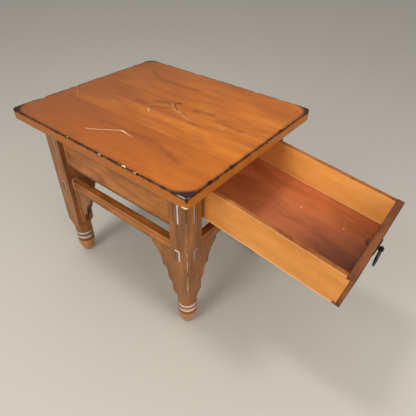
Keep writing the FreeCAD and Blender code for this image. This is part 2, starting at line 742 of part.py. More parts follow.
def make_top_fixings():
    """Blocks along the aprons, and a screw through each into the slab."""
    blocks = new_body("top_fixing_blocks", (0, 0, leg_height - size["block_height"]))
    plan = new_sketch(blocks, "block_plan", "XY_Plane")
    holes = new_sketch(blocks, "block_holes", "XY_Plane")
    screws = []
    for along in (-1, 0, 1):
        middle = block_pitch * along
        for side in (-1, 1):
            low, high = sorted((rail_back_y * side, (rail_back_y - size["block_width"]) * side),
                               key=lambda length: length.value)
            draw_box(plan, middle - size["block_length"] / 2, low, middle + size["block_length"] / 2, high)
            draw_circle(holes, middle, block_middle * side, screw_room)
            screws.append(make_screw(f"screw_{len(screws)}", middle, block_middle * side))
    pad(blocks, plan, size["block_height"])
    cut_into(blocks, holes, size["block_height"])
    keep(blocks, "top_fixing_blocks")
    keep(grouped(screws, "top_fixing_screws"), "top_fixing_screws")


def make_screw(name, x, y):
    """A pan-headed screw, its head under the block."""
    body = new_body(name, (x, y, leg_height - size["block_height"]))
    outline = new_sketch(body, name + "_outline", "XZ_Plane")
    top = size["block_height"] + size["screw_bite"]
    head = size["screw_head_height"]
    draw(outline, [
        (0, -head), (size["screw_crown_radius"], -head),
        (size["screw_head_radius"], -size["screw_head_rim"]), (size["screw_head_radius"], 0),
        (size["screw_radius"], 0), (size["screw_radius"], top - size["screw_radius"] * 2), (0, top),
    ])
    spin(body, outline, "Revolution", "V_Axis")
    return body


def tail_on_side():
    """The one wide dovetail of a drawer side, in its side view."""
    back_of_front = -size["front_thick"]
    low, high = size["pin_half"], drawer_height - size["pin_half"]
    tip = -size["front_lap"]
    return [(back_of_front, low), (tip, low - size["pin_slope"]),
            (tip, high + size["pin_slope"]), (back_of_front, high)]


def make_drawer_box():
    """Front, sides, back and bottom, with lapped dovetails at the front and grooves for the bottom."""
    half = drawer_width / 2
    inside = half - size["side_thick"]
    play = size["groove_play"]
    groove = (size["bottom_rise"] - play, size["bottom_rise"] + size["bottom_thick"] + play)
    groove_wall = inside + size["groove_depth"]
    end = -drawer_depth
    back_span = (end + size["back_inset"], end + size["back_inset"] + size["side_thick"])

    front = drawer_body("drawer_front")
    face = new_sketch(front, "front_face", "YZ_Plane")
    draw_box(face, -half, 0, half, drawer_height)
    pad(front, face, size["front_thick"], reverse=True)
    for name, lift in (("left", half), ("right", -half)):
        socket = new_sketch(front, f"front_{name}_socket", "XZ_Plane", lift)
        draw(socket, tail_on_side())
        cut_into(front, socket, size["side_thick"])
    back_of_front = -size["front_thick"]
    front_groove_floor = back_of_front + size["groove_depth"]
    box_feature(front, "front_groove", "SubtractiveBox", (back_of_front, front_groove_floor),
                (-groove_wall, groove_wall), groove)
    round_hole(front, "front_bolt_hole", back_of_front, 0, pull_height, shank_room, size["front_thick"],
               (1, 0, 0))
    keep(front, "drawer_front")

    side = drawer_body("drawer_side_left")
    board = new_sketch(side, "side_board", "XZ_Plane", half)
    draw(board, [(end, 0), (back_of_front, 0), *tail_on_side(), (back_of_front, drawer_height),
                 (end, drawer_height)])
    pad(side, board, size["side_thick"], reverse=True)
    upper_edge = drawer_height.value
    soften(side, "Fillet", "side_upper_edges", size["side_round"],
           lambda edge: runs_along(edge, "x") and lies_at(edge, "z", upper_edge))
    groove_span = (-groove_wall, -inside)
    box_feature(side, "side_groove", "SubtractiveBox", (end, -size["front_lap"]), groove_span, groove)
    box_feature(side, "side_dado", "SubtractiveBox", (back_span[0] - play, back_span[1] + play), groove_span,
                (size["bottom_rise"], drawer_height))
    keep(side, "drawer_side_left")
    keep(mirrored(side, "drawer_side_right", "y"), "drawer_side_right")

    back = drawer_body("drawer_back")
    box_feature(back, "back_board", "AdditiveBox", back_span, (-groove_wall, groove_wall),
                (size["bottom_rise"] + size["bottom_thick"], drawer_height - size["back_drop"]))
    keep(back, "drawer_back")

    bottom = drawer_body("drawer_bottom")
    box_feature(bottom, "bottom_panel", "AdditiveBox",
                (back_span[0], front_groove_floor - play),
                (-groove_wall + play, groove_wall - play),
                (size["bottom_rise"], size["bottom_rise"] + size["bottom_thick"]))
    keep(bottom, "drawer_bottom")


def make_pull():
    """Round plate, eye bolt with washer and nut, and the ring that hangs in the eye."""
    rosette = drawer_body("pull_rosette")
    outline = new_sketch(rosette, "rosette_outline", "XZ_Plane")
    dome = arc_radius(size["rosette_boss_height"] - size["rosette_rim"],
                      size["rosette_radius"] - size["rosette_boss_radius"])
    draw(outline, [
        (0, shank_room), (size["rosette_boss_height"], shank_room),
        (size["rosette_boss_height"], size["rosette_boss_radius"], dome),
        (size["rosette_rim"], size["rosette_radius"]), (0, size["rosette_radius"]),
    ])
    spin(rosette, outline, "Revolution", "H_Axis")
    stand_at_pull(rosette)
    keep(rosette, "pull_rosette")

    post = drawer_body("pull_post")
    outline = new_sketch(post, "post_outline", "XZ_Plane")
    collar = size["rosette_boss_height"]
    draw(outline, [
        (-size["shank_length"], 0), (size["eye_reach"], 0), (size["eye_reach"], size["neck_of_eye_radius"]),
        (collar, size["neck_of_eye_radius"]), (collar, size["shank_radius"]),
        (-size["shank_length"], size["shank_radius"]),
    ])
    spin(post, outline, "Revolution", "H_Axis")
    eye = new_sketch(post, "eye_disc", "XZ_Plane")
    draw_circle(eye, size["eye_reach"], 0, size["eye_radius"])
    pad(post, eye, size["eye_thick"], "Symmetric")
    eye_room = size["ring_wire_radius"] + size["eye_play"]
    round_hole(post, "eye_hole", size["eye_reach"], -size["eye_radius"], 0, eye_room, size["eye_radius"] * 2,
               (0, 1, 0))
    stand_at_pull(post)
    keep(post, "pull_post")

    washer = drawer_body("pull_washer")
    face = new_sketch(washer, "washer_face", "YZ_Plane", -size["front_thick"])
    draw_circle(face, 0, 0, size["washer_radius"])
    draw_circle(face, 0, 0, shank_room)
    pad(washer, face, size["washer_thick"], reverse=True)
    stand_at_pull(washer)
    keep(washer, "pull_washer")

    nut = drawer_body("pull_nut")
    face = new_sketch(nut, "nut_face", "YZ_Plane", -size["front_thick"] - size["washer_thick"])
    across = size["nut_flats"] / math.sqrt(3)
    corners = [(across * math.cos(math.radians(60 * step)), across * math.sin(math.radians(60 * step)))
               for step in range(6)]
    draw(face, corners)
    draw_circle(face, 0, 0, shank_room)
    pad(nut, face, size["nut_thick"], reverse=True)
    stand_at_pull(nut)
    keep(nut, "pull_nut")

    ring = doc.addObject("Part::Torus", "pull_ring")
    ring.Placement.Rotation = FreeCAD.Rotation(FreeCAD.Vector(0, 1, 0), 90)
    bind(ring, "Radius1", size["ring_middle_radius"])
    bind(ring, "Radius2", size["ring_wire_radius"])
    eye_x, eye_z = drawer_point(size["eye_reach"], pull_height)
    bind_place(ring, eye_x, 0, eye_z - size["ring_middle_radius"])
    keep(ring, "pull_ring")


def stand_at_pull(body):
    """Moves a body of the pull from the drawer's lower edge up to the pull."""
    tip_with_drawer(body, 0, pull_height)


def check_and_export():
    """Stops on any broken feature, then writes one file for each piece."""
    doc.recompute()
    for thing in doc.Objects:
        if {"Invalid", "Error"} & set(thing.State):
            raise RuntimeError(f"{thing.Name} is {thing.State}")
        if hasattr(thing, "Shape") and thing in parts and (thing.Shape.isNull() or not thing.Shape.isValid()):
            raise RuntimeError(f"{thing.Name} has a bad shape")
    os.makedirs("parts", exist_ok=True)
    for piece in parts:
        piece.Shape.exportStep(f"parts/{piece.Label}.step")
        print(piece.Label, len(piece.Shape.Solids), round(piece.Shape.Volume))


# Sizes that pieces meet on.
screw_room = size["screw_radius"] + size["joint_play"]
dowel_room = size["dowel_radius"] + size["joint_play"]
shank_room = size["shank_radius"] + size["joint_play"]
block_middle = rail_back_y - size["block_width"] / 2
block_pitch = inner_x - size["block_end_room"] - size["block_length"] / 2
pull_height = drawer_height - size["pull_drop"]
upper_cap_height = size["apron_height"] - size["upper_cap_rise"] - size["upper_cap_drop"]
cap_spans = (("upper_cap", apron_foot + size["upper_cap_rise"], upper_cap_height),
             ("lower_cap", stretcher_foot - size["lower_cap_drop"], size["lower_cap_height"]))

make_top()
for end_name, end_sign in (("front", 1), ("rear", -1)):
    leg = make_leg(f"leg_{end_name}_left", end_sign)
    keep(mirrored(leg, f"leg_{end_name}_right", "y"), f"leg_{end_name}_right")
side_apron = make_apron("apron_left", inner_x * 2, (0, -rail_face_y, apron_foot), 0)
keep(mirrored(side_apron, "apron_right", "y"), "apron_right")
make_apron("apron_rear", inner_y * 2, (-rail_face_x, 0, apron_foot), -1)
make_front_top_rail()
side_stretcher = make_stretcher("stretcher_left", inner_x * 2, (0, -rail_face_y, stretcher_foot), 0)
keep(mirrored(side_stretcher, "stretcher_right", "y"), "stretcher_right")
end_stretcher = make_stretcher("stretcher_front", inner_y * 2, (rail_face_x, 0, stretcher_foot), 1)
keep(mirrored(end_stretcher, "stretcher_rear", "x"), "stretcher_rear")
make_brackets_and_dowels()
for cap_name, (_, cap_foot, cap_height) in zip(("tenon_caps_upper", "tenon_caps_lower"), cap_spans):
    make_caps(cap_name, cap_foot, cap_height)
make_drawer_bearers()
make_top_fixings()
make_drawer_box()
make_pull()
check_and_export()
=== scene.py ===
import json
import math

import bmesh
import bpy
from mathutils import Matrix, Vector, noise

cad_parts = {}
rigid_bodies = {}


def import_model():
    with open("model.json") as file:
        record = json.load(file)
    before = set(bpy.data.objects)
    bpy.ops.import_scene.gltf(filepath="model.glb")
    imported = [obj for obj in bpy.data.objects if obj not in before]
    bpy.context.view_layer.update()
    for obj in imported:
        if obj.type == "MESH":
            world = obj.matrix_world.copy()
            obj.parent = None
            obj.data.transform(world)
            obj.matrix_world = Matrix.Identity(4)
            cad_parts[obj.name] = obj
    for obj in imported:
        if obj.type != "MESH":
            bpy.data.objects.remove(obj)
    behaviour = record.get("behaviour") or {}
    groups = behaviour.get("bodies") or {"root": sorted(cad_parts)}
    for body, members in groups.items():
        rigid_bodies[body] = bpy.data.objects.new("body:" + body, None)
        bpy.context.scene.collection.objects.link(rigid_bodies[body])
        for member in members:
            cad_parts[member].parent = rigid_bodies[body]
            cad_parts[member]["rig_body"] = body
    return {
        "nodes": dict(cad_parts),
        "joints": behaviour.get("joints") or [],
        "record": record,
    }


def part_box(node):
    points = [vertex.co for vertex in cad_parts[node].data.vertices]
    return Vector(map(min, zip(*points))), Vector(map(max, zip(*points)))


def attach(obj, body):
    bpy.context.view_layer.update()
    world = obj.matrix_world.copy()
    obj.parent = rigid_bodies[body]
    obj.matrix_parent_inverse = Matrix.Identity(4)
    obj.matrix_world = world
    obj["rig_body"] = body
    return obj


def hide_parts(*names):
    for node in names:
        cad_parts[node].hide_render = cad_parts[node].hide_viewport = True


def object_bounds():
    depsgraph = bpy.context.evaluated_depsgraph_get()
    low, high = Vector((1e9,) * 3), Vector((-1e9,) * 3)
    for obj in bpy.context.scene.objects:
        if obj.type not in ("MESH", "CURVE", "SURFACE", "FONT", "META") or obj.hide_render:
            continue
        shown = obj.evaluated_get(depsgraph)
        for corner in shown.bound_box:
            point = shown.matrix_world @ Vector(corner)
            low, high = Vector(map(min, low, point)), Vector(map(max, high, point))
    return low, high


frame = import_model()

bl_info = {
    "name": "Tavern end table",
    "version": (1, 0, 0),
    "blender": (4, 5, 0),
    "location": "View3D > Sidebar > Table",
    "description": "Finishes the packed end table: worn slab, stained frame, drawer and iron ring pull",
    "category": "Object",
}

MM = 0.001
CAD_LOW, CAD_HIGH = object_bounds()
SLAB_LOW, SLAB_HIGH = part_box("table_top")
SLAB_MIDDLE = (SLAB_LOW + SLAB_HIGH) / 2
SLAB_HALF = (SLAB_HIGH - SLAB_LOW) / 2
SLIDE = next(joint for joint in frame["joints"] if joint["name"] == "drawer_slide")
DRAWER_TIP = math.atan2(-SLIDE["axis"][2], SLIDE["axis"][0])
# The way to the room and its light. Cap bevels facing it are pale as wear and painted highlight; bead
# shoulders facing it get a painted highlight.
TO_ROOM = Vector((0.6, -0.6, 0.53))

# Marks on the slab in millimetres, in the table's own frame.
# Joints between the slab's boards: place across the grain, and how much darker the next board is.
JOINTS = ((-118, -0.9), (-25, 0.4), (62, -0.35), (150, 0.25))
# How dark the first board is, and how far either side of a joint the tone changes.
FIRST_BOARD, JOINT_BLUR = 1.1, 1.5
# Lines: the width, and the points along each.
SCRATCHES = (
    (2.3, (-262, -233), (-252, -231), (-171, -176)),
    (4.2, (-175, -179), (-157, -181)),
    (2.0, (-157, -182), (-126, -185)),
    (3.2, (-221, -31), (-207, -42)),
)
FAINT_SCRATCHES = (
    (4.5, (-190, 44), (-160, 20), (-137, 9), (-103, 0), (-72, -14)),
    (4.0, (-237, -5), (-187, 25)),
    (3.5, (7, 27), (35, 3), (36, 28)),
    (2.4, (-500, -82), (-462, -114)),
    (2.0, (-476, -72), (-458, -83)),
    (3.4, (-355, -52), (-337, -71)),
)
CRACKS = (
    (5, (-182, 50), (-170, 34), (-160, 27), (-145, 17)),
    (5, (-121, 14), (-103, 10)),
)
FIGURE = (
    (10, (-268, -178), (-225, -170), (-95, -167), (-35, -173), (0, -181), (58, -206)),
    (12, (-110, -168), (-60, -170)),
    (14, (10, -186), (45, -201)),
    (12, (-440, 214), (-395, 182), (-345, 170), (-190, 173)),
    (16, (-100, 52), (-40, 60)),
    (18, (0, 40), (80, 34)),
    (20, (-245, 26), (-195, 38)),
    (14, (-230, -4), (-180, 6)),
    (14, (-290, -12), (-255, -8)),
    (10, (-64, -20), (-22, -25)),
)
# The knot beside the cracks: its middle and three half sizes.
KNOT = ((-172, 57), (9, 7, 8))
# How far the figure's lines wander, and how far the cracks and faint scratches do, in metres.
BEND = Vector((20, 20, 0)) * MM
SHAKE = Vector((9, 9, 0)) * MM
# Nicks in the upper rim: place, half length and depth. One of the full depth or more is wholly stained.
NICKS = ((167, 113, 18, 6), (167, -128, 13, 4), (167, -212, 13, 5), (167, 30, 8, 2), (-260, -298, 5, 2),
         (-190, -298, 4, 1), (-117, -298, 7, 3), (-37, -298, 7, 3), (11, -298, 8, 3), (80, -298, 5, 1.5),
         (-420, -298, 5, 1.5), (-537, -190, 14, 4), (-537, -60, 12, 3), (-537, 190, 12, 4),
         (-300, 298, 12, 4), (-40, 298, 14, 3), (60, 298, 8, 3))
FULL_NICK = 4
# The rim is worn fully this near its arris, and less and less over the next stretch.
WORN_REACH, WORN_FADE = 4, 9
# Waves per metre of the rim's slow wander, of its unevenness and of the nicks' floors.
SLOW_WAVES, FINE_WAVES, NICK_WAVES = 40, 130, 300
# Chips down to bare wood: place with the height above the slab's middle, and three half sizes.
CHIPS = (((-36, -297, 14), (6, 4, 2)), ((158, -297, -13), (8, 8, 3.2)), ((-260, -297, 14), (2, 2.5, 1)),
         ((166, -128, 14), (2.4, 2.8, 1.6)))
# Nicks whose floor catches the light, given as the chips are.
GLINTS = (((-127, -296, 13), (5, 2.4, 1.1)), ((2, -296, 13), (4.5, 2.4, 1.1)))
# Half sizes of the painted highlight on the arris round the front left corner.
CORNER_HIGHLIGHT = (28, 10, 8)

# Pale specks on the drawer bottom in millimetres from its middle, and their half sizes.
SPECKS = ((168, 63, 3), (38, 54, 3), (-169, 104, 3))
SPECK_SIZE = (2.2, 2.2, 9)
# Painted shade at the drawer bottom's front end, in millimetres from its middle, and its half sizes.
FRONT_SHADE = ((280, -150, 0), (180, 200, 60))
# A nick in the upper edge of the drawer's sides, in millimetres from their middle, and its half sizes.
SIDE_NICK = ((112, 6, 83), (3.5, 2.5, 2.5))

# Widths of patterns in millimetres. In all wood: streaks, fibres, dull patches, and nicks in arrises.
# Fibres are drawn a few times too coarse, because real ones are finer than a pixel of the picture.
STREAK_MM, FIBRE_MM, PATCH_MM, NICKED_MM = 11, 4, 16, 5
# Clouds of stain on the frame and the drawer, on the slab and the plywood, and on the floor.
CLOUD_MM, WIDE_CLOUD_MM, FLOOR_CLOUD_MM = 42, 60, 60
# On the slab: dull patches, breaks in its lines, its darker rear, and the bends and shakes of its lines.
SLAB_PATCH_MM, BREAK_MM, REAR_TONE_MM, BEND_MM, SHAKE_MM = 14, 9, 150, 45, 9
# The ragged border and the slow wander of the slab's burnt stain.
RAGGED_MM, WANDER_MM = 13, 35
# Dents and grit on the iron, and blotches on the zinc.
DENT_MM, GRIT_MM, BLOTCH_MM = 6, 2, 4
# Levels between which noise rises from nothing to all, in a plain pattern and in a softer one.
RISE, SOFT_RISE = (0.3, 0.7), (0.25, 0.75)
# How far a pattern moves for one step of a piece's seed, and from board to board of the slab, in metres.
SEED_SHIFT, BOARD_SHIFT = (7.3, 3.1, 5.7), (1.9, 0.7, 0.3)
# Steps of the seed from piece to piece and from solid to solid, and the slab's own seed.
PIECE_STEP, SOLID_STEP, SLAB_SEED = 1.7, 0.37, 4.0

# Points nearer than the first are merged, and points within the second of a place count as there.
MERGED, CLOSE = 0.01 * MM, 0.1 * MM
# Faces flatter than the first angle are joined, edges sharper than the second are eased, and smooth
# shading breaks at the third.
FLAT, SHARP, SMOOTH = math.radians(0.5), math.radians(32), math.radians(40)
# Lines of points beside the slab's upper rim.
RIM_RINGS = 5

# Lamps: name, place in metres, length and width in metres, and power in watts.
LAMPS = (
    ("window_light", (-0.2, -2.7, 1.9), 1.0, 2.6, 44),
    ("strip_light", (0.8, -1.15, 2.0), 2.4, 0.06, 2),
    ("side_light", (2.6, -0.4, 1.3), 1.7, 1.7, 31),
    ("ceiling_light", (-0.9, -0.6, 4.0), 0.6, 0.6, 33),
)
# Strength of the room's light at the horizon and overhead.
ROOM_LOW, ROOM_HIGH = 0.12, 0.66
# Half the floor's width, in metres.
FLOOR_HALF = 20
# The photograph's camera: place in metres, turn in degrees, and lens and sensor in millimetres.
CAMERA_PLACE = (0.5872, -0.7712, 1.1096)
CAMERA_TURN = (50.45, -1.107, 38.361)
LENS, SENSOR = 32.39, 36

# Kinds of node with their mode, as add() takes them, and the setting that takes a kind's mode.
MIX, RAMP = "Mix RGBA", "MapRange SMOOTHSTEP"
MODES = {"Math": "operation", "VectorMath": "operation", "Mix": "data_type",
         "MapRange": "interpolation_type", "TexVoronoi": "feature"}
# What all varnished wood shares.
VARNISH = {"Specular IOR Level": 0.12, "Coat Roughness": 0.22}


def linear(hex_colour):
    """An sRGB hex colour as the linear colour that a shader takes."""
    channels = (int(hex_colour[place:place + 2], 16) / 255 for place in (1, 3, 5))
    return (*(c / 12.92 if c <= 0.04045 else ((c + 0.055) / 1.055) ** 2.4 for c in channels), 1.0)


def colour_property(name, hex_colour, description):
    return bpy.props.FloatVectorProperty(name=name, description=description, default=linear(hex_colour),
                                         subtype="COLOR", size=4, min=0, max=1)


def length_property(name, millimetres, description):
    return bpy.props.FloatProperty(name=name, description=description, default=millimetres * MM,
                                   unit="LENGTH", min=0)


class TableColours(bpy.types.PropertyGroup):
    """Colours of the finishes and of the stage."""
    top_light: colour_property("Top, light", "#EC8A28", "Honey varnish where the slab is palest")
    top_dark: colour_property("Top, dark", "#AA561C", "Honey varnish in the darker figure of the slab")
    # Darker toward the rear: partly the varnish's own tone, partly painted shade where the light falls off.
    top_rear_tone: colour_property("Top, aged", "#8A4F24", "Browner varnish toward the rear of the slab")
    top_deep: colour_property("Top, figure", "#6A3418", "Dark lines in the slab's figure")
    top_crack: colour_property("Top, cracks", "#43301F", "Cracks beside the slab's knot")
    burnt: colour_property("Burnt rim", "#171214", "Dark stain rubbed along the slab's arris and corners")
    scratch: colour_property("Scratch", "#F2CB92", "Scratches and dents through the varnish of the slab")
    bare: colour_property("Bare wood", "#FFF0BE", "Pine where a chip has gone through the varnish")
    slab_edge: colour_property("Slab edge", "#A8662A", "Browner varnish on the slab's edges")
    frame_light: colour_property("Frame, light", "#B07034", "Brown stain on legs and brackets, light")
    frame_dark: colour_property("Frame, dark", "#704421", "Brown stain on legs and brackets, dark")
    rail_light: colour_property("Rails, light", "#C67930", "Stain on aprons and stretchers, light")
    rail_dark: colour_property("Rails, dark", "#884C1C", "Stain on aprons and stretchers, dark")
    # Also the colour of the painted shade in corners, on faces that look down, on the brackets' scrolled
    # edges and round the caps.
    wax: colour_property("Wax", "#3B2116", "Dark wax left in corners and along edges")
    rubbed: colour_property("Rubbed edge", "#E6C9A0", "Edges rubbed through the stain")
    toe: colour_property("Toe", "#D4925F", "Stain worn thin on the toes of the feet")
    # Also painted light: highlights on the beads, on the slab's front left corner and in its glints,
    # reflections beside the rear legs, and partly the caps' bevels.
    pale: colour_property("Pale bevel", "#DCD0CC", "Bevels of the caps worn to a chalky white")
    drawer_light: colour_property("Drawer, light", "#EA9E50", "Thinly varnished pine of the drawer, light")
    drawer_dark: colour_property("Drawer, dark", "#D08238", "Thinly varnished pine of the drawer, dark")
    drawer_deep: colour_property("Drawer, deep", "#6A2410", "Varnish gathered on the sides' upper edges")
    # On the outer edges partly a painted highlight.
    drawer_edge: colour_property("Drawer, edge", "#FFC98A", "Rubbed outer edge of the drawer's sides")
    inside_light: colour_property("Drawer inside, light", "#FFBA60", "Pine inside the drawer, light")
    inside_dark: colour_property("Drawer inside, dark", "#F2A04C", "Pine inside the drawer, dark")
    front_light: colour_property("Drawer front, light", "#96572C", "Brown stain of the drawer front, light")
    front_dark: colour_property("Drawer front, dark", "#5E3420", "Brown stain of the drawer front, dark")
    bottom_light: colour_property("Drawer bottom, light", "#D27442", "Red-brown stain of the bottom, light")
    bottom_dark: colour_property("Drawer bottom, dark", "#9E542E", "Red-brown stain of the bottom, dark")
    # The colour of the painted shade at the bottom's front end and in its corners.
    bottom_deep: colour_property("Drawer bottom, deep", "#3E2115", "Bottom at its darkest end")
    iron: colour_property("Iron", "#050506", "Black waxed iron of the pull")
    browned: colour_property("Browned iron", "#6B3D26", "Nut and washer, stained with the drawer's front")
    iron_sheen: colour_property("Iron, sheen", "#0C0C0F", "Greyer iron on the high places")
    zinc: colour_property("Zinc", "#B8B8B4", "Dull zinc on the screws")
    zinc_dull: colour_property("Zinc, blotches", "#6E6E6A", "Darker blotches in the zinc")
    floor: colour_property("Floor", "#C9C2B4", "Pale plain floor")
    room: colour_property("Room", "#F4F5F8", "Soft light of the room")


class TableSizes(bpy.types.PropertyGroup):
    """Sizes of the wear and of the finishes."""
    front_left: length_property("Front left corner", 9, "Plan radius of the slab's front left corner")
    front_right: length_property("Front right corner", 22, "Plan radius of the slab's front right corner")
    rear_left: length_property("Rear left corner", 16, "Plan radius of the slab's rear left corner")
    rear_right: length_property("Rear right corner", 34, "Plan radius of the slab's rear right corner")
    arris: length_property("Slab arris", 3.5, "Rounding of the slab's upper edge")
    lower_arris: length_property("Slab lower arris", 2.5, "Rounding of the slab's lower edge")
    rim_step: length_property("Rim step", 3, "Spacing of points along the slab's rim")
    rim_wander: length_property("Rim wander", 1.4, "How far the worn rim wanders inwards")
    burnt_width: length_property("Burnt rim", 1.6, "Dark stain either side of the slab's arris")
    burnt_blur: length_property("Burnt rim, border", 1.5, "How softly the dark stain along the arris ends")
    burnt_wander: length_property("Burnt rim, wander", 6, "How much wider that dark stain may get")
    burnt_corner: length_property("Burnt corner", 72, "Plan radius of the clean field at the corners")
    burnt_ragged: length_property("Burnt corner, border", 8, "How raggedly the dark stain ends there")
    burnt_drip: length_property("Burnt corner, drip", 18, "How far the dark stain runs down the corners")
    ease: length_property("Eased edges", 1.0, "Rounding of the sharp edges of frame and drawer")
    fine_ease: length_property("Eased edges, fine", 0.5, "Rounding of the sharp edges of small pieces")
    # The stripe is a painted reflection.
    end_stripe: length_property("End stripe", 4.5, "Pale edge of rails and brackets beside the rear legs")
    toe_height: length_property("Toe height", 61, "Height of the foot below its lower bead")
    bead_low: length_property("Bead low", 66, "Height above which the beads' shoulders shine")
    bead_top: length_property("Bead top", 104, "Height of the upper bead's top")
    bead_drop: length_property("Bead drop", 6, "How much lower the beads sit than in the construction")
    neck: length_property("Neck", 150, "Height of the neck's top, which stays in place")
    # This border is painted shade together with wax.
    cap_border: length_property("Cap border", 2.5, "Dark border of wax on the faces of the caps")
    # This dark line is painted shade on the edge that turns down.
    apron_line: length_property("Apron line", 17, "Dark wax on the rounded lower edges of the aprons")
    edging: length_property("Edging", 4.5, "Dark wax along the arrises of legs and rails")
    fine_edging: length_property("Edging, fine", 2.6, "Dark wax along the arrises of the drawer's front")
    # On the outside partly a painted highlight.
    hem: length_property("Drawer hem", 4.5, "Rubbed lower edge of the drawer's sides")
    strip: length_property("Drawer strip", 17, "Pale strip inside the drawer, above the sides' lower edge")


class TableSettings(bpy.types.PropertyGroup):
    """Everything that the panel shows."""
    colours: bpy.props.PointerProperty(type=TableColours, name="Colours", description="All the colours")
    sizes: bpy.props.PointerProperty(type=TableSizes, name="Sizes", description="All the sizes")


def settings():
    """The sizes and colours of this scene."""
    return bpy.context.scene.tavern_table


def add(tree, kind, *values, out="", **options):
    """Adds one node and returns the output that is named, or else the first one in use.

    A second word of the kind is the node's mode. The values fill the inputs in use in their order, or by
    name where they come in a dictionary, and each is a plain value or a socket to link.
    """
    kind, *mode = kind.split()
    node = tree.nodes.new("ShaderNode" + kind)
    if mode:
        options[MODES[kind]] = mode[0]
    for name, value in options.items():
        setattr(node, name, value)
    inputs = [socket for socket in node.inputs if socket.enabled]
    if values and isinstance(values[0], dict):
        inputs = [node.inputs[name] for name in values[0]]
        values = values[0].values()
    for socket, value in zip(inputs, values):
        if isinstance(value, bpy.types.NodeSocket):
            tree.links.new(value, socket)
        else:
            socket.default_value = value
    return node.outputs[out] if out else next((socket for socket in node.outputs if socket.enabled), None)


def chain(tree, kind, values):
    """Joins values one after another by nodes of a kind."""
    total, *others = values
    for value in others:
        total = add(tree, kind, total, value)
    return total


def lay_over(tree, colour, *layers):
    """Lays finishes over a colour one after another, each given as its share and its own colour."""
    for share, tint in layers:
        colour = add(tree, MIX, share, colour, tint)
    return colour


def new_tree(name):
    """A new material and its empty node tree."""
    material = bpy.data.materials.new(name)
    material.use_nodes = True
    material.node_tree.nodes.clear()
    return material, material.node_tree


def board_place(tree):
    """Place on a board in metres from its middle, X along the grain, and the same shifted by its seed."""
    place = add(tree, "Attribute", attribute_name="board", out="Vector")
    seed = add(tree, "Attribute", attribute_name="board_seed", out="Fac")
    return place, add(tree, "VectorMath ADD", place, add(tree, "VectorMath SCALE", SEED_SHIFT, seed))


def noise_along(tree, place, size_mm, stretch, detail=3.0):
    """Noise of a given size across the grain, drawn out along it, from 0 to 1."""
    along = add(tree, "Mapping", {"Vector": place, "Scale": (1 / stretch, 1, 1)})
    return add(tree, "TexNoise", {"Vector": along, "Scale": 1 / (size_mm * MM), "Detail": detail,
                                  "Roughness": 0.58, "Distortion": 0.4})


def wander(tree, place, shifted, size_mm, reach):
    """A place moved about by noise of a given size, so that a line that is drawn there wanders."""
    moved = add(tree, "TexNoise", {"Vector": shifted, "Scale": 1 / (size_mm * MM), "Detail": 3},
                out="Color")
    start = add(tree, "VectorMath SUBTRACT", place, reach / 2)
    return add(tree, "VectorMath MULTIPLY_ADD", moved, reach, start)


def sawn_wood(tree, shifted, light, dark, cloud_mm, contrast, streak):
    """Colour of stained pine: clouds of stain, long streaks and fibres. Also returns the fibres' height."""
    clouds = add(tree, RAMP, noise_along(tree, shifted, cloud_mm, 3, 4), *RISE)
    streaks = add(tree, RAMP, noise_along(tree, shifted, STREAK_MM, 14), *RISE)
    fibre = add(tree, RAMP, noise_along(tree, shifted, FIBRE_MM, 30, 4), *SOFT_RISE)
    share = add(tree, "Math MULTIPLY", streaks, streak)
    share = add(tree, "Math MULTIPLY_ADD", fibre, 0.6 * streak, share)
    share = add(tree, "Math MULTIPLY_ADD", clouds, 1 - 1.6 * streak, share)
    share = add(tree, "Math MULTIPLY_ADD", add(tree, "Math SUBTRACT", share, 0.5), contrast, 0.5)
    return add(tree, MIX, share, light, dark), fibre


def crevice(tree, reach_mm):
    """How much a place is closed in by what is around it, from 0 to 1."""
    open_share = add(tree, "AmbientOcclusion", {"Distance": reach_mm * MM}, out="AO", samples=6)
    return add(tree, "Math SUBTRACT", 1.0, open_share)


def spot(tree, place, centre_mm, radii_mm, soft=0.35):
    """A round patch on a board, 1 in its middle, given in millimetres from the board's middle."""
    away = add(tree, "VectorMath SUBTRACT", place, Vector(centre_mm) * MM)
    scaled = add(tree, "VectorMath DIVIDE", away, Vector(radii_mm) * MM)
    return add(tree, RAMP, add(tree, "VectorMath LENGTH", scaled), 1 - soft, 1 + soft, 1, 0)


def line(tree, place, start_mm, end_mm, width_mm, soft=0.35):
    """A straight line on a board, 1 along its middle, given in millimetres from the board's middle."""
    start, way = Vector(start_mm) * MM, (Vector(end_mm) - Vector(start_mm)) * MM
    away = add(tree, "VectorMath SUBTRACT", place, start)
    share = add(tree, "VectorMath DOT_PRODUCT", away, way / way.length_squared)
    share = add(tree, "Math ADD", share, 0.0, use_clamp=True)
    gap = add(tree, "VectorMath DISTANCE", away, add(tree, "VectorMath SCALE", way, share))
    # The border lies a little past half the width, because it is soft.
    return add(tree, RAMP, gap, width_mm * MM * (0.58 - soft / 2), width_mm * MM * (0.58 + soft / 2), 1, 0)


def lines(tree, place, marks, soft=0.35):
    """All the lines of a list, each through its points on the slab."""
    drawn = [line(tree, place, on_slab(*start), on_slab(*end), width, soft)
             for width, *points in marks for start, end in zip(points, points[1:])]
    return chain(tree, "Math MAXIMUM", drawn)


def on_slab(x, y, z=SLAB_HALF.z / MM):
    """A place in millimetres from the slab's middle, for a place in the table's own frame."""
    return Vector((x, y, z)) - Vector((SLAB_MIDDLE.x, SLAB_MIDDLE.y, 0)) / MM


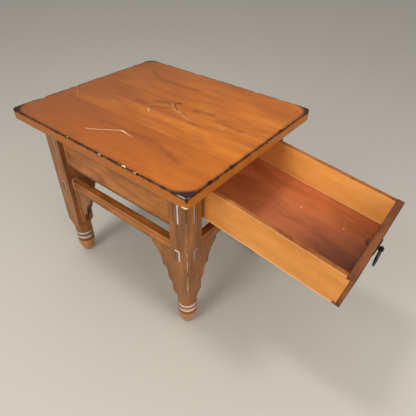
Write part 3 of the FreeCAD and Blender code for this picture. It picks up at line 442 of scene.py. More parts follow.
def edge_wax(tree, place, half, patch, edging, share):
    """How much dark wax lies along the long arrises of a board, in an uneven line of a given width."""
    inset = add(tree, "VectorMath SUBTRACT", half, add(tree, "VectorMath ABSOLUTE", place))
    inset = add(tree, "SeparateXYZ", inset).node.outputs
    from_arris = add(tree, "Math MAXIMUM", inset["Y"], inset["Z"])
    from_arris = add(tree, "Math MULTIPLY_ADD", patch, -edging, from_arris)
    return add(tree, RAMP, from_arris, -0.3 * edging, 0.6 * edging, share, 0)


def hem_wear(tree, place, half, hem):
    """How much a drawer's side is rubbed: its lower edge up to the height of a hem, outside partly a
    painted highlight, and its upper nick.
    """
    lift = add(tree, "SeparateXYZ", add(tree, "VectorMath ADD", place, half), out="Z")
    hemmed = add(tree, RAMP, lift, 0.85 * hem, hem, 0.6, 0)
    return add(tree, "Math MAXIMUM", hemmed, spot(tree, place, *SIDE_NICK))


def stained_wood(name, light, dark, deep, worn, wax=0.8, rub=0.6, nick=0.5, gloss=0.34, coat=0.3,
                 contrast=1.0, streak=0.25, hem=0, edging=0, edge_share=0.5):
    """Stained pine under varnish: cloudy colour, dark wax and painted shade in the corners, arrises dark
    with pale nicks.

    The points that a mesh marks as deep and worn take those colours. Wax, rub and edge_share say how much
    of the wax and painted shade in corners, the rubbed arrises and the edging shows. A higher nick makes
    nicks rarer.
    """
    material, tree = new_tree(name)
    colours = settings().colours
    place, shifted = board_place(tree)
    half = add(tree, "Attribute", attribute_name="board_half", out="Vector")
    deepened, worn_share, arris, pale = (add(tree, "Attribute", attribute_name=mark, out="Fac")
                                         for mark in ("deep", "worn", "arris", "pale"))
    patch = noise_along(tree, shifted, PATCH_MM, 2, 4)
    deepened = add(tree, "Math MULTIPLY", deepened, add(tree, RAMP, patch, 0.3, 0.6, 0.95, 0.65))
    # Pale marks: worn places, and the painted highlights and reflections that some meshes mark.
    pale = add(tree, "Math MULTIPLY", pale, add(tree, RAMP, patch, 0.3, 0.5, 0.75, 1))
    # Dark wax and painted shade: the more closed in a place is, the darker it gets.
    waxed = add(tree, RAMP, crevice(tree, 8), 0.07, 0.4, 0, wax)
    if hem:
        worn_share = add(tree, "Math MAXIMUM", worn_share, hem_wear(tree, place, half, hem))
    nicked = add(tree, "Math MULTIPLY_ADD", arris, 0.5, noise_along(tree, shifted, NICKED_MM, 12))
    nicked = add(tree, RAMP, nicked, nick + 0.5, nick + 0.6)
    rubbed = add(tree, "Math MULTIPLY", add(tree, RAMP, arris, 0.2, 0.8), rub)
    edge = add(tree, MIX, nicked, colours.wax, colours.rubbed)

    colour, fibre = sawn_wood(tree, shifted, light, dark, CLOUD_MM, contrast, streak)
    colour = lay_over(tree, colour, (deepened, deep), (worn_share, worn))
    if edging:
        edged = edge_wax(tree, place, half, patch, edging, edge_share)
        colour = lay_over(tree, colour, (edged, colours.wax))
    colour = lay_over(tree, colour, (waxed, colours.wax), (rubbed, edge), (pale, colours.pale))
    roughness = add(tree, RAMP, patch, *SOFT_RISE, gloss - 0.06, gloss + 0.1)
    height = add(tree, "Math MULTIPLY_ADD", fibre, 0.3, patch)
    bump = add(tree, "Bump", {"Strength": 0.2, "Distance": 0.6 * MM, "Height": height})
    shader = add(tree, "BsdfPrincipled", {**VARNISH, "Base Color": colour, "Roughness": roughness,
                                          "Normal": bump, "Coat Normal": bump, "Coat Weight": coat})
    add(tree, "OutputMaterial", shader)
    return material


def frame_wood():
    """Pine under brown stain on the legs: streaked, dark by arrises, rubbed at corners, thin on toes."""
    colours, sizes = settings().colours, settings().sizes
    # Deep marks on these pieces are painted shade, in the wax colour.
    return stained_wood("brown_stained_pine", colours.frame_light, colours.frame_dark, colours.wax,
                        colours.toe, wax=0.2, rub=0.55, nick=0.54, contrast=0.95, edging=sizes.edging)


def rail_wood():
    """Pine under honey-brown stain on the rails: cloudy, with strong dark lines along the arrises."""
    colours, sizes = settings().colours, settings().sizes
    # Deep marks on these pieces are painted shade, in the wax colour.
    return stained_wood("honey_stained_pine", colours.rail_light, colours.rail_dark, colours.wax,
                        colours.rubbed, wax=0.6, contrast=1.1, streak=0.16, edging=sizes.edging,
                        edge_share=0.65)


def front_wood():
    """Pine under dark stain on the drawer's front: strong grain and a fine dark edge."""
    colours, sizes = settings().colours, settings().sizes
    return stained_wood("brown_stained_drawer_front", colours.front_light, colours.front_dark, colours.wax,
                        colours.rubbed, rub=0.8, nick=0.7, contrast=1.3, edging=sizes.fine_edging,
                        edge_share=0.8)


def side_wood():
    """Varnished pine outside the drawer: even and pale, with a rubbed hem and a red-brown upper edge."""
    colours, sizes = settings().colours, settings().sizes
    return stained_wood("varnished_drawer_pine", colours.drawer_light, colours.drawer_dark,
                        colours.drawer_deep, colours.drawer_edge, wax=0.4, rub=0, coat=0.1, contrast=0.8,
                        streak=0.12, hem=sizes.hem)


def inside_wood():
    """Thinly varnished pine inside the drawer: paler still, with a light strip above the bottom."""
    colours, sizes = settings().colours, settings().sizes
    return stained_wood("thinly_varnished_pine", colours.inside_light, colours.inside_dark,
                        colours.drawer_deep, colours.drawer_edge, wax=0, rub=0, coat=0.2, contrast=0.8,
                        streak=0.12, hem=sizes.strip)


def bearer_wood():
    """Sawn pine without varnish on the hidden pieces: pale and dull, with dirt in the corners."""
    colours = settings().colours
    return stained_wood("plain_sawn_pine", colours.drawer_light, colours.drawer_dark, colours.wax,
                        colours.rubbed, gloss=0.5, coat=0.0)


def plywood():
    """Red-brown stained plywood: soft long figure, painted shade toward the drawer's front and in the
    corners, a few pale specks.
    """
    material, tree = new_tree("red_stained_plywood")
    colours = settings().colours
    place, shifted = board_place(tree)
    patch = noise_along(tree, shifted, PATCH_MM, 2, 4)
    # Painted shade: the bottom darkens at its front end and in its closed-in corners.
    front_shade = add(tree, "Math MULTIPLY", spot(tree, place, *FRONT_SHADE, 0.8), 0.85)
    corner_shade = add(tree, RAMP, crevice(tree, 25), 0.35, 0.8, 0, 0.5)
    specks = chain(tree, "Math MAXIMUM", [spot(tree, place, centre, SPECK_SIZE) for centre in SPECKS])
    specks = add(tree, "Math MULTIPLY", specks, 0.8)

    light, dark = colours.bottom_light, colours.bottom_dark
    colour, fibre = sawn_wood(tree, shifted, light, dark, WIDE_CLOUD_MM, contrast=0.9, streak=0.12)
    colour = lay_over(tree, colour, (front_shade, colours.bottom_deep), (corner_shade, colours.bottom_deep),
                      (specks, colours.pale))
    roughness = add(tree, RAMP, patch, *SOFT_RISE, 0.32, 0.5)
    bump = add(tree, "Bump", {"Strength": 0.15, "Distance": 0.5 * MM, "Height": fibre})
    shader = add(tree, "BsdfPrincipled", {**VARNISH, "Base Color": colour, "Roughness": roughness,
                                          "Normal": bump, "Coat Normal": bump, "Coat Weight": 0.3})
    add(tree, "OutputMaterial", shader)
    return material


def slab_boards(tree, place, shifted):
    """The slab's glued boards: the pattern's place, which jumps at each joint, and each board's tone."""
    across = add(tree, "SeparateXYZ", place, out="Y")
    number, tone = 0.0, FIRST_BOARD
    for joint, change in JOINTS:
        beyond = add(tree, RAMP, across, (joint - JOINT_BLUR) * MM, (joint + JOINT_BLUR) * MM)
        number = add(tree, "Math ADD", beyond, number)
        tone = add(tree, "Math MULTIPLY_ADD", beyond, change, tone)
    shift = add(tree, "VectorMath SCALE", BOARD_SHIFT, number)
    return add(tree, "VectorMath ADD", shifted, shift), tone


def burnt_stain(tree, place, shifted, away):
    """How much dark stain is on the slab: along its arris, in its corners with drips, and in its nicks."""
    sizes = settings().sizes
    ragged = noise_along(tree, shifted, RAGGED_MM, 1.6, 5)
    wide = noise_along(tree, shifted, WANDER_MM, 2, 4)
    rim = add(tree, "Math MULTIPLY_ADD", wide, -sizes.burnt_wander, away)
    rim = add(tree, RAMP, rim, sizes.burnt_width - sizes.burnt_blur, sizes.burnt_width, 1, 0)
    rim = add(tree, "Math MULTIPLY", rim, add(tree, RAMP, ragged, 0.3, 0.54, 0.7, 1))

    # The corners are stained outside a clean field with large round corners of its own.
    field = SLAB_HALF - Vector((1, 1, 0)) * (sizes.burnt_width + sizes.burnt_corner)
    beyond = add(tree, "VectorMath SUBTRACT", add(tree, "VectorMath ABSOLUTE", place), field)
    beyond = add(tree, "VectorMath MAXIMUM", beyond, (0, 0, 0))
    beyond = add(tree, "VectorMath MULTIPLY", beyond, (1, 1, 0))
    outside = add(tree, "Math SUBTRACT", add(tree, "VectorMath LENGTH", beyond), sizes.burnt_corner)
    corner = add(tree, "Math MULTIPLY_ADD", ragged, sizes.burnt_ragged, outside)
    corner = add(tree, RAMP, corner, -2 * MM, 12 * MM)
    # This stain keeps to the top, and runs down the sides only at the very corner.
    drip = add(tree, RAMP, outside, 26 * MM, 31 * MM)
    reach = add(tree, "Math MULTIPLY_ADD", drip, sizes.burnt_drip, add(tree, "SeparateXYZ", place, out="Z"))
    reach = add(tree, "Math MULTIPLY_ADD", ragged, 9 * MM, reach)
    reach = add(tree, RAMP, reach, SLAB_HALF.z - 5 * MM, SLAB_HALF.z + MM)
    corner = add(tree, "Math MULTIPLY", corner, reach)

    wear = add(tree, "Attribute", attribute_name="wear", out="Fac")
    wear = add(tree, "Math MULTIPLY_ADD", add(tree, "Math SUBTRACT", ragged, 0.5), 0.5, wear)
    near = add(tree, RAMP, away, 6.5 * MM, 11 * MM, 1, 0)
    wear = add(tree, "Math MULTIPLY", add(tree, RAMP, wear, 0.15, 0.35), near)
    return add(tree, "Math MULTIPLY", chain(tree, "Math MAXIMUM", (rim, corner, wear)), 0.93)


def slab_lines(tree, place, shifted, patch):
    """How much shows of the slab's figure, of its knot and cracks, and of its scratches."""
    broken = add(tree, RAMP, noise_along(tree, shifted, BREAK_MM, 3, 4), 0.3, 0.65, 0.1, 0.5)
    figure = lines(tree, wander(tree, place, shifted, BEND_MM, BEND), FIGURE, 1.15)
    figure = add(tree, "Math MULTIPLY", figure, broken)
    shaken = wander(tree, place, shifted, SHAKE_MM, SHAKE)
    centre, radii = KNOT
    knot = spot(tree, shaken, on_slab(*centre), radii, 0.8)
    cracks = add(tree, "Math MAXIMUM", lines(tree, shaken, CRACKS, 0.8), knot)
    cracks = add(tree, "Math MULTIPLY", cracks, add(tree, RAMP, broken, 0.1, 0.4, 0.3, 0.75))
    faint = chain(tree, "Math MULTIPLY", (lines(tree, shaken, FAINT_SCRATCHES, 0.8), broken, 0.6))
    scratches = add(tree, "Math MAXIMUM", lines(tree, place, SCRATCHES), faint)
    scratches = add(tree, "Math MULTIPLY", scratches, add(tree, RAMP, patch, 0.3, 0.5, 0.5, 0.95))
    return figure, cracks, scratches


def slab_chips(tree, place, chips, share):
    """How much shows of a list of chips in the slab."""
    chipped = [spot(tree, place, on_slab(*centre), radii) for centre, radii in chips]
    return add(tree, "Math MULTIPLY", chain(tree, "Math MAXIMUM", chipped), share)


def slab_wood():
    """Honey varnish on glued pine boards: figure, a knot with cracks, scratches, chips and a burnt rim."""
    material, tree = new_tree("worn_varnished_pine_slab")
    colours = settings().colours
    place, shifted = board_place(tree)
    shifted, tone = slab_boards(tree, place, shifted)
    along = add(tree, "SeparateXYZ", place, out="X")
    upward = add(tree, "SeparateXYZ", add(tree, "NewGeometry", out="Normal"), out="Z")
    away = add(tree, "Attribute", attribute_name="rim", out="Fac")
    patch = noise_along(tree, shifted, SLAB_PATCH_MM, 1.5, 4)

    # The slab darkens toward its rear end, partly in its own tone and partly as painted shade where the
    # light falls off.
    tone = add(tree, "Math MULTIPLY", tone, add(tree, RAMP, along, 0.05, 0.33, 0.62, 0.36))
    rear_tone = add(tree, "Math MULTIPLY_ADD", noise_along(tree, shifted, REAR_TONE_MM, 2), 0.3, along)
    rear_tone = add(tree, RAMP, rear_tone, -0.3, 0.35, 0.75, 0)
    at_side = add(tree, RAMP, upward, 0.2, 0.7, 0.6, 0)
    figure, cracks, scratches = slab_lines(tree, place, shifted, patch)
    shade = add(tree, RAMP, away, 3 * MM, 16 * MM, 0.4, 0)
    shade = add(tree, "Math MULTIPLY", shade, add(tree, RAMP, upward, 0.5, 0.9))
    burnt = burnt_stain(tree, place, shifted, away)
    # Painted highlight along the arris round the front left corner.
    rubbed = spot(tree, place, on_slab(SLAB_HIGH.x / MM, SLAB_LOW.y / MM), CORNER_HIGHLIGHT)
    rubbed = add(tree, "Math MULTIPLY", rubbed, add(tree, RAMP, away, 1.5 * MM, 2.6 * MM, 0.75, 0))
    chips = slab_chips(tree, place, CHIPS, 0.95)
    glints = slab_chips(tree, place, GLINTS, 0.75)

    light, dark = colours.top_light, colours.top_dark
    colour, fibre = sawn_wood(tree, shifted, light, dark, WIDE_CLOUD_MM, contrast=0.85, streak=0.24)
    colour = lay_over(tree, colour, (tone, colours.top_dark), (rear_tone, colours.top_rear_tone),
                      (at_side, colours.slab_edge), (figure, colours.top_deep), (cracks, colours.top_crack),
                      (shade, colours.top_deep), (burnt, colours.burnt), (rubbed, colours.pale),
                      (scratches, colours.scratch), (chips, colours.bare), (glints, colours.pale))
    roughness = add(tree, RAMP, patch, *SOFT_RISE, 0.24, 0.4)
    height = add(tree, "Math MULTIPLY_ADD", fibre, 0.25, patch)
    height = add(tree, "Math SUBTRACT", height, add(tree, "Math MULTIPLY", scratches, 1.5))
    bump = add(tree, "Bump", {"Strength": 0.1, "Distance": 0.6 * MM, "Height": height})
    coat = add(tree, RAMP, upward, 0.2, 0.7, 0.1, 0.28)
    shader = add(tree, "BsdfPrincipled", {**VARNISH, "Base Color": colour, "Roughness": roughness,
                                          "Normal": bump, "Coat Normal": bump, "Coat Weight": coat})
    add(tree, "OutputMaterial", shader)
    return material


def forged_iron(name, colour, gloss, coat):
    """Forged iron under wax: uneven hammered skin with a grey sheen on the high places."""
    material, tree = new_tree(name)
    place = add(tree, "TexCoord", out="Object")
    dents = add(tree, "TexVoronoi SMOOTH_F1", {"Vector": place, "Scale": 1 / (DENT_MM * MM)})
    grit = add(tree, "TexNoise", {"Vector": place, "Scale": 1 / (GRIT_MM * MM), "Detail": 4})
    tint = add(tree, MIX, add(tree, RAMP, grit, 0.45, 0.75, 0, 0.6), colour, settings().colours.iron_sheen)
    roughness = add(tree, RAMP, grit, *RISE, gloss, gloss + 0.2)
    height = add(tree, "Math MULTIPLY_ADD", grit, 0.3, dents)
    bump = add(tree, "Bump", {"Strength": 0.5, "Distance": 0.5 * MM, "Height": height})
    shader = add(tree, "BsdfPrincipled", {"Base Color": tint, "Roughness": roughness, "Normal": bump,
                                          "Specular IOR Level": 0.35, "Coat Weight": coat,
                                          "Coat Roughness": 0.1})
    add(tree, "OutputMaterial", shader)
    return material


def zinc_steel():
    """Zinc-plated steel: a dull pale metal with fine unevenness and darker blotches."""
    material, tree = new_tree("zinc_plated_steel")
    colours = settings().colours
    place = add(tree, "TexCoord", out="Object")
    blotch = add(tree, "TexNoise", {"Vector": place, "Scale": 1 / (BLOTCH_MM * MM), "Detail": 3})
    tint = add(tree, MIX, add(tree, RAMP, blotch, 0.4, 0.7, 0, 0.5), colours.zinc, colours.zinc_dull)
    roughness = add(tree, RAMP, blotch, *RISE, 0.3, 0.5)
    bump = add(tree, "Bump", {"Strength": 0.2, "Distance": 0.2 * MM, "Height": blotch})
    shader = add(tree, "BsdfPrincipled", {"Base Color": tint, "Metallic": 1.0, "Roughness": roughness,
                                          "Normal": bump})
    add(tree, "OutputMaterial", shader)
    return material


def plain_floor():
    """A pale matt floor: one even colour with faint clouds in its roughness, so that it stays quiet."""
    material, tree = new_tree("pale_plain_floor")
    place = add(tree, "TexCoord", out="Object")
    cloud = add(tree, "TexNoise", {"Vector": place, "Scale": 1 / (FLOOR_CLOUD_MM * MM), "Detail": 4})
    roughness = add(tree, RAMP, cloud, *RISE, 0.75, 0.9)
    shader = add(tree, "BsdfPrincipled", {"Base Color": settings().colours.floor, "Roughness": roughness})
    add(tree, "OutputMaterial", shader)
    return material


def extent(verts):
    """The lowest and the highest corner of the box round some points."""
    places = [vert.co for vert in verts]
    return Vector(map(min, *places)), Vector(map(max, *places))


def islands(bm):
    """The points of each separate solid."""
    left = set(bm.verts)
    while left:
        start = next(vert for vert in bm.verts if vert in left)
        found, queue = {start}, [start]
        while queue:
            for edge in queue.pop().link_edges:
                for vert in edge.verts:
                    if vert not in found:
                        found.add(vert)
                        queue.append(vert)
        left -= found
        yield [vert for vert in bm.verts if vert in found]


def cut(bm, place, way):
    """Adds a line of points where a plane crosses the mesh."""
    bmesh.ops.bisect_plane(bm, geom=bm.verts[:] + bm.edges[:] + bm.faces[:], plane_co=place, plane_no=way)


def round_edges(bm, edges, radius, segments, clamp=False):
    """Rounds edges by a radius, and returns the new geometry."""
    return bmesh.ops.bevel(bm, geom=edges, offset=radius, offset_type="OFFSET", affect="EDGES",
                           segments=segments, profile=0.5, material=-1, clamp_overlap=clamp)


def ease_edges(bm, ease):
    """Rounds the sharp outer edges and marks the middle of each rounding as arris."""
    arris = layer_of(bm, "arris")
    sharp = [edge for edge in bm.edges
             if edge.is_manifold and edge.is_convex and edge.calc_face_angle() > SHARP]
    made = round_edges(bm, sharp, ease, 2, clamp=True)
    eased = set(made["faces"])
    for vert in made["verts"]:
        vert[arris] = float(all(face in eased for face in vert.link_faces))


def store_board(bm, along, tip, seed):
    """Keeps each solid's own place, half size and seed on its points, with X along the grain."""
    axes = {"X": (0, 1, 2), "Y": (1, 0, 2), "Z": (2, 0, 1)}[along]
    turn = Matrix.Rotation(-tip, 3, "Y")
    to_board = Matrix([turn[axis] for axis in axes])
    place = bm.verts.layers.float_vector.new("board")
    half = bm.verts.layers.float_vector.new("board_half")
    number = bm.verts.layers.float.new("board_seed")
    for count, island in enumerate(islands(bm)):
        local = [to_board @ vert.co for vert in island]
        low, high = Vector(map(min, *local)), Vector(map(max, *local))
        for vert, point in zip(island, local):
            vert[place] = point - (low + high) / 2
            vert[half] = (high - low) / 2
            vert[number] = seed + SOLID_STEP * count


def new_object(name, data):
    """A new object in the scene, which shows a mesh, a lamp or a camera."""
    made = bpy.data.objects.new(name, data)
    bpy.context.scene.collection.objects.link(made)
    return made


def add_piece(bm, name, body, slot, materials, *nodes):
    """Makes a finished piece of a mesh, which rides on a body and stands for CAD nodes."""
    mesh = bpy.data.meshes.new(name)
    bm.to_mesh(mesh)
    bm.free()
    for material in materials:
        mesh.materials.append(material)
    mesh.shade_smooth()
    mesh.set_sharp_from_angle(angle=SMOOTH)
    piece = new_object(name, mesh)
    normals = piece.modifiers.new("Even normals", "WEIGHTED_NORMAL")
    normals.keep_sharp = True
    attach(piece, body)
    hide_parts(*nodes)


def body_of(node):
    return frame["nodes"][node]["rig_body"]


def slot_of(node):
    return next(part["material_slot"] for part in frame["record"]["subparts"] if part["node"] == node)


def eased_piece(node, materials, along, ease, seed, mark):
    """A copy of a CAD piece with its sharp edges eased and its grain laid along one axis."""
    bm = bmesh.new()
    bm.from_mesh(frame["nodes"][node].data)
    bmesh.ops.remove_doubles(bm, verts=bm.verts, dist=MERGED)
    bmesh.ops.dissolve_limit(bm, angle_limit=FLAT, verts=bm.verts, edges=bm.edges)
    ease_edges(bm, ease)
    if mark:
        mark(bm)
    tip = DRAWER_TIP if body_of(node) == "drawer" else 0.0
    store_board(bm, along, tip, seed)
    add_piece(bm, "finished_" + node, body_of(node), slot_of(node), materials, node)


def eased_group(nodes, materials, along, ease, mark=None):
    """Eased copies of several CAD pieces, each with its own seed and all marked in one way."""
    for count, node in enumerate(nodes):
        eased_piece(node, materials, along, ease, PIECE_STEP * count + len(node), mark)


def layer_of(bm, name):
    """The layer of marks with a name, which is made where it is missing."""
    return bm.verts.layers.float.get(name) or bm.verts.layers.float.new(name)


def layers_of(bm, *names):
    """Several layers of marks, all made before one is used, because a new layer spoils older references."""
    for name in names:
        layer_of(bm, name)
    return [layer_of(bm, name) for name in names]


def mark_points(bm, name, share, test):
    """Marks the points whose faces, apart from those at the ends, all pass a test of where they look."""
    layer = layer_of(bm, name)
    for vert in bm.verts:
        outward = [face.normal for face in vert.link_faces if abs(face.normal.x) < 0.3]
        if outward and all(map(test, outward)):
            vert[layer] = share(vert.co)


def mark_caps(bm):
    """Bevels of the caps toward the room and up are pale: wear and painted highlight. Painted shade and wax
    outline the caps.
    """
    border = settings().sizes.cap_border
    pale, deep = layers_of(bm, "pale", "deep")
    # Two insets give the larger outer faces a dark border of painted shade and wax that ends softly.
    faces = [face for face in bm.faces if max(abs(face.normal.x), abs(face.normal.y)) > 0.99
             and face.calc_area() > 20 * border ** 2]
    for share in (0.9, 0.9, 0.0):
        for face in faces:
            for vert in face.verts:
                vert[deep] = share
        if share:
            bmesh.ops.inset_individual(bm, faces=faces, thickness=border)
    for island in islands(bm):
        low, high = extent(island)
        at_side = high.y - low.y < high.x - low.x
        # The caps on the sides of the front legs are painted palest, partly as rubbing and partly as a
        # painted highlight.
        if at_side:
            share = 0.95 if low.x > SLAB_MIDDLE.x else 0.4
        else:
            share = 0.35
        for face in {face for vert in island for face in vert.link_faces}:
            slanted = sum(abs(part) > 0.25 for part in face.normal) > 1
            for vert in face.verts:
                # Bevels toward the room turn pale; the other bevels and the side walls take painted shade.
                if slanted and face.normal.dot(TO_ROOM) > 0.45:
                    vert[pale] = share
                elif slanted or abs(face.normal[1 if at_side else 0]) < 0.5:
                    vert[deep] = 1.0


def mark_legs(bm):
    """Lowers the beads, and marks rubbed corners, a painted highlight and painted shade on the beads, and
    worn toes.
    """
    sizes = settings().sizes
    low, high = extent(bm.verts)
    middle, half = (low + high).xy / 2, (high.x - low.x) / 2
    arris, pale, worn, deep = layers_of(bm, "arris", "pale", "worn", "deep")
    bead = sizes.bead_low + sizes.bead_drop
    for vert in bm.verts:
        share = min(vert.co.z / bead, (sizes.neck - vert.co.z) / (sizes.neck - sizes.bead_top), 1)
        vert.co.z -= sizes.bead_drop * max(share, 0)
    bm.normal_update()
    # The front left leg is rubbed more than the others, and most at its foot; its pale arris is partly a
    # painted highlight.
    near = middle.x > SLAB_MIDDLE.x and middle.y < SLAB_MIDDLE.y
    room = TO_ROOM.xy.normalized()
    for vert in bm.verts:
        if (vert.co.xy - middle).length < 1.2 * half:
            vert[arris] = 0.0
        elif all(min(abs(face.normal.x), abs(face.normal.y)) > 0.5 for face in vert.link_faces):
            vert[arris] = 1.5 - 0.7 * vert.co.z / high.z if near else 0.5
        if vert.co.z < sizes.toe_height:
            vert[worn] = 0.5
        # Painted highlight on the beads' shoulders, strongest where they face the room.
        elif sizes.bead_low < vert.co.z < sizes.bead_top and 0.4 < vert.normal.z < 0.72:
            vert[pale] = 0.75 * min(max(1.6 * vert.normal.xy.normalized().dot(room), 0), 1)
        # Painted shade on the beads' undersides.
        elif sizes.toe_height < vert.co.z < sizes.bead_top and vert.normal.z < -0.3:
            vert[deep] = 0.8


def mark_scroll(bm):
    """The scrolled edges of a bracket take painted shade, and its edge by a rear leg a painted reflection.
    """
    low, high = extent(bm.verts)
    thin = 0 if high.x - low.x <= high.y - low.y else 1
    deep = layer_of(bm, "deep")
    for vert in bm.verts:
        # Painted shade on the faces round the scroll.
        vert[deep] = float(all(abs(face.normal[thin]) < 0.5 for face in vert.link_faces))
    mark_ends(bm)


def mark_ends(bm):
    """A narrow stripe beside the rear legs takes a pale painted reflection, and faces that look down
    painted shade.
    """
    # Painted shade on faces that look down.
    mark_points(bm, "deep", lambda place: 0.9, lambda out: out.z < -0.02)
    stripe = settings().sizes.end_stripe
    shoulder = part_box("leg_rear_left")[1].x
    # The pale stripe is a painted reflection on the rounded ends by the rear legs.
    for line_x in (shoulder + stripe, shoulder + 1.5 * stripe):
        cut(bm, (line_x, 0, 0), (1, 0, 0))
    pale = layer_of(bm, "pale")
    for vert in bm.verts:
        if -MM < vert.co.x - shoulder < 1.01 * stripe:
            vert[pale] = 0.5


def mark_aprons(bm):
    """Painted shade darkens an apron's rounded lower edge, and its ends are as those of the stretchers."""
    mark_ends(bm)
    # Below this line the rounded lower edge takes painted shade.
    line_z = extent(bm.verts)[0].z + settings().sizes.apron_line
    for height in (line_z, line_z + MM):
        cut(bm, (0, 0, height), (0, 0, 1))
    deep = layer_of(bm, "deep")
    for vert in bm.verts:
        if vert.co.z < line_z + CLOSE:
            vert[deep] = 0.8


def mark_sides(bm):
    """Varnish gathers on the upper edges toward the front, outer edges are pale as rubbing and painted
    highlight, the inside is paler.
    """
    low, high = extent(bm.verts)
    side = math.copysign(1, low.y)
    mark_points(bm, "deep", lambda place: 0.5 + 0.5 * (place.x - low.x) / (high.x - low.x),
                lambda out: out.z > 0.25)
    # Pale outer edges: partly rubbing, partly a painted highlight.
    mark_points(bm, "worn", lambda place: 0.6, lambda out: 0.1 < out.z < 0.55 and out.y * side > 0.75)
    for face in bm.faces:
        face.material_index = int(face.normal.y * side < -0.9)


def mark_bolt(bm):
    """The end of the bolt inside the drawer is stained over with the drawer's front."""
    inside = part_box("pull_washer")[1].x
    for face in bm.faces:
        face.material_index = int(face.calc_center_median().x < inside)


def flatten_plate(bm):
    """The pull's plate is as thick at its rim as in its middle."""
    out = Vector(SLIDE["axis"]).normalized()
    outermost = max(vert.co.dot(out) for vert in bm.verts)
    innermost = min(vert.co.dot(out) for vert in bm.verts)
    for vert in bm.verts:
        reach = vert.co.dot(out)
        if reach - innermost > 0.5 * MM:
            vert.co += out * (outermost - reach)


def slab_corners(bm):
    """Rounds the slab's four upright edges, each by its own radius."""
    sizes = settings().sizes
    for x, y, radius in ((1, -1, sizes.front_left), (1, 1, sizes.front_right),
                         (-1, -1, sizes.rear_left), (-1, 1, sizes.rear_right)):
        corner = SLAB_MIDDLE + Vector((x, y, 0)) * SLAB_HALF
        upright = [edge for edge in bm.edges
                   if all((vert.co - corner).xy.length < CLOSE for vert in edge.verts)]
        round_edges(bm, upright, radius, 8)


def slab_arrises(bm):
    """Rounds the slab's upper and lower rims."""
    sizes = settings().sizes
    for height, radius in ((SLAB_HIGH.z, sizes.arris), (SLAB_LOW.z, sizes.lower_arris)):
        rim = [edge for edge in bm.edges if all(abs(vert.co.z - height) < CLOSE for vert in edge.verts)]
        round_edges(bm, rim, radius, 3)


def from_rim(point):
    """How far a place lies inside the slab's nearest side."""
    away = SLAB_HALF - Vector(map(abs, point - SLAB_MIDDLE))
    return min(away.x, away.y)


def divide_rim(bm):
    """Divides the upper rim finely enough for the nicks: lines of points inside it and down the sides."""
    sizes = settings().sizes
    rings = [sizes.arris + count * sizes.rim_step for count in range(1, RIM_RINGS + 1)]
    for depth in rings:
        cut(bm, SLAB_HIGH - Vector((0, 0, depth)), Vector((0, 0, 1)))
    for inset in rings:
        for way in (Vector((1, 0, 0)), Vector((-1, 0, 0)), Vector((0, 1, 0)), Vector((0, -1, 0))):
            cut(bm, SLAB_MIDDLE + way * (SLAB_HALF.dot(Vector(map(abs, way))) - inset), way)
    deepest = rings[-1] - sizes.rim_step / 2
    for axis in (0, 1):
        length = 2 * SLAB_HALF[axis]
        along = [edge for edge in bm.edges
                 if abs(edge.verts[0].co[axis] - edge.verts[1].co[axis]) > 0.8 * length
                 and from_rim(edge.verts[0].co) < deepest and SLAB_HIGH.z - edge.verts[0].co.z < deepest]
        bmesh.ops.subdivide_edges(bm, edges=along, cuts=round(length / sizes.rim_step))


def wear_rim(bm):
    """Wears the upper rim inwards: a slow wander along it and the nicks, which are marked as wear."""
    bm.normal_update()
    rim_wander = settings().sizes.rim_wander
    wear, rim = layers_of(bm, "wear", "rim")
    moves = {}
    for vert in bm.verts:
        vert[rim] = math.hypot(from_rim(vert.co), SLAB_HIGH.z - vert.co.z)
        nearness = 1 - min(max((vert[rim] / MM - WORN_REACH) / WORN_FADE, 0), 1)
        if nearness == 0:
            continue
        depth = 0.5 + noise.noise(vert.co * SLOW_WAVES) + 0.5 * noise.noise(vert.co * FINE_WAVES)
        depth = rim_wander * max(0, depth)
        for x, y, half_length, nick in NICKS:
            along = (vert.co.xy - Vector((x, y)) * MM).length / (half_length * MM)
            if along < 1:
                bite = (1 - along ** 2) ** 2
                depth += bite * nick * MM * (0.8 + 0.4 * noise.noise(vert.co * NICK_WAVES))
                vert[wear] = max(vert[wear], bite * nearness * min(nick / FULL_NICK, 1))
        moves[vert] = -vert.normal * depth * nearness
    for vert, move in moves.items():
        vert.co += move


class TAVERN_OT_top(bpy.types.Operator):
    """Models the worn slab with its rounded corners, wandering rim and nicks"""
    bl_idname = "tavern.top"
    bl_label = "Worn top"

    def execute(self, context):
        bm = bmesh.new()
        shape = Matrix.Translation(SLAB_MIDDLE) @ Matrix.Diagonal((*(SLAB_HALF * 2), 1))
        bmesh.ops.create_cube(bm, size=1, matrix=shape)
        slab_corners(bm)
        slab_arrises(bm)
        divide_rim(bm)
        wear_rim(bm)
        store_board(bm, "X", 0.0, SLAB_SEED)
        add_piece(bm, "worn_slab", "frame", slot_of("table_top"), [slab_wood()], "table_top")
        return {"FINISHED"}


class TAVERN_OT_legs(bpy.types.Operator):
    """Finishes the four legs with their turned feet, and the brackets and caps beside them"""
    bl_idname = "tavern.legs"
    bl_label = "Legs, brackets and caps"

    def execute(self, context):
        sizes = settings().sizes
        stained = [frame_wood()]
        names = sorted(frame["nodes"])
        legs = [name for name in names if name.startswith("leg_")]
        brackets = [name for name in names if name.startswith("bracket_") and name != "bracket_dowels"]
        eased_group(legs, stained, "Z", sizes.ease, mark_legs)
        eased_group(brackets, stained, "Z", sizes.ease, mark_scroll)
        eased_group(["tenon_caps_upper", "tenon_caps_lower"], stained, "Z", sizes.fine_ease, mark_caps)
        return {"FINISHED"}


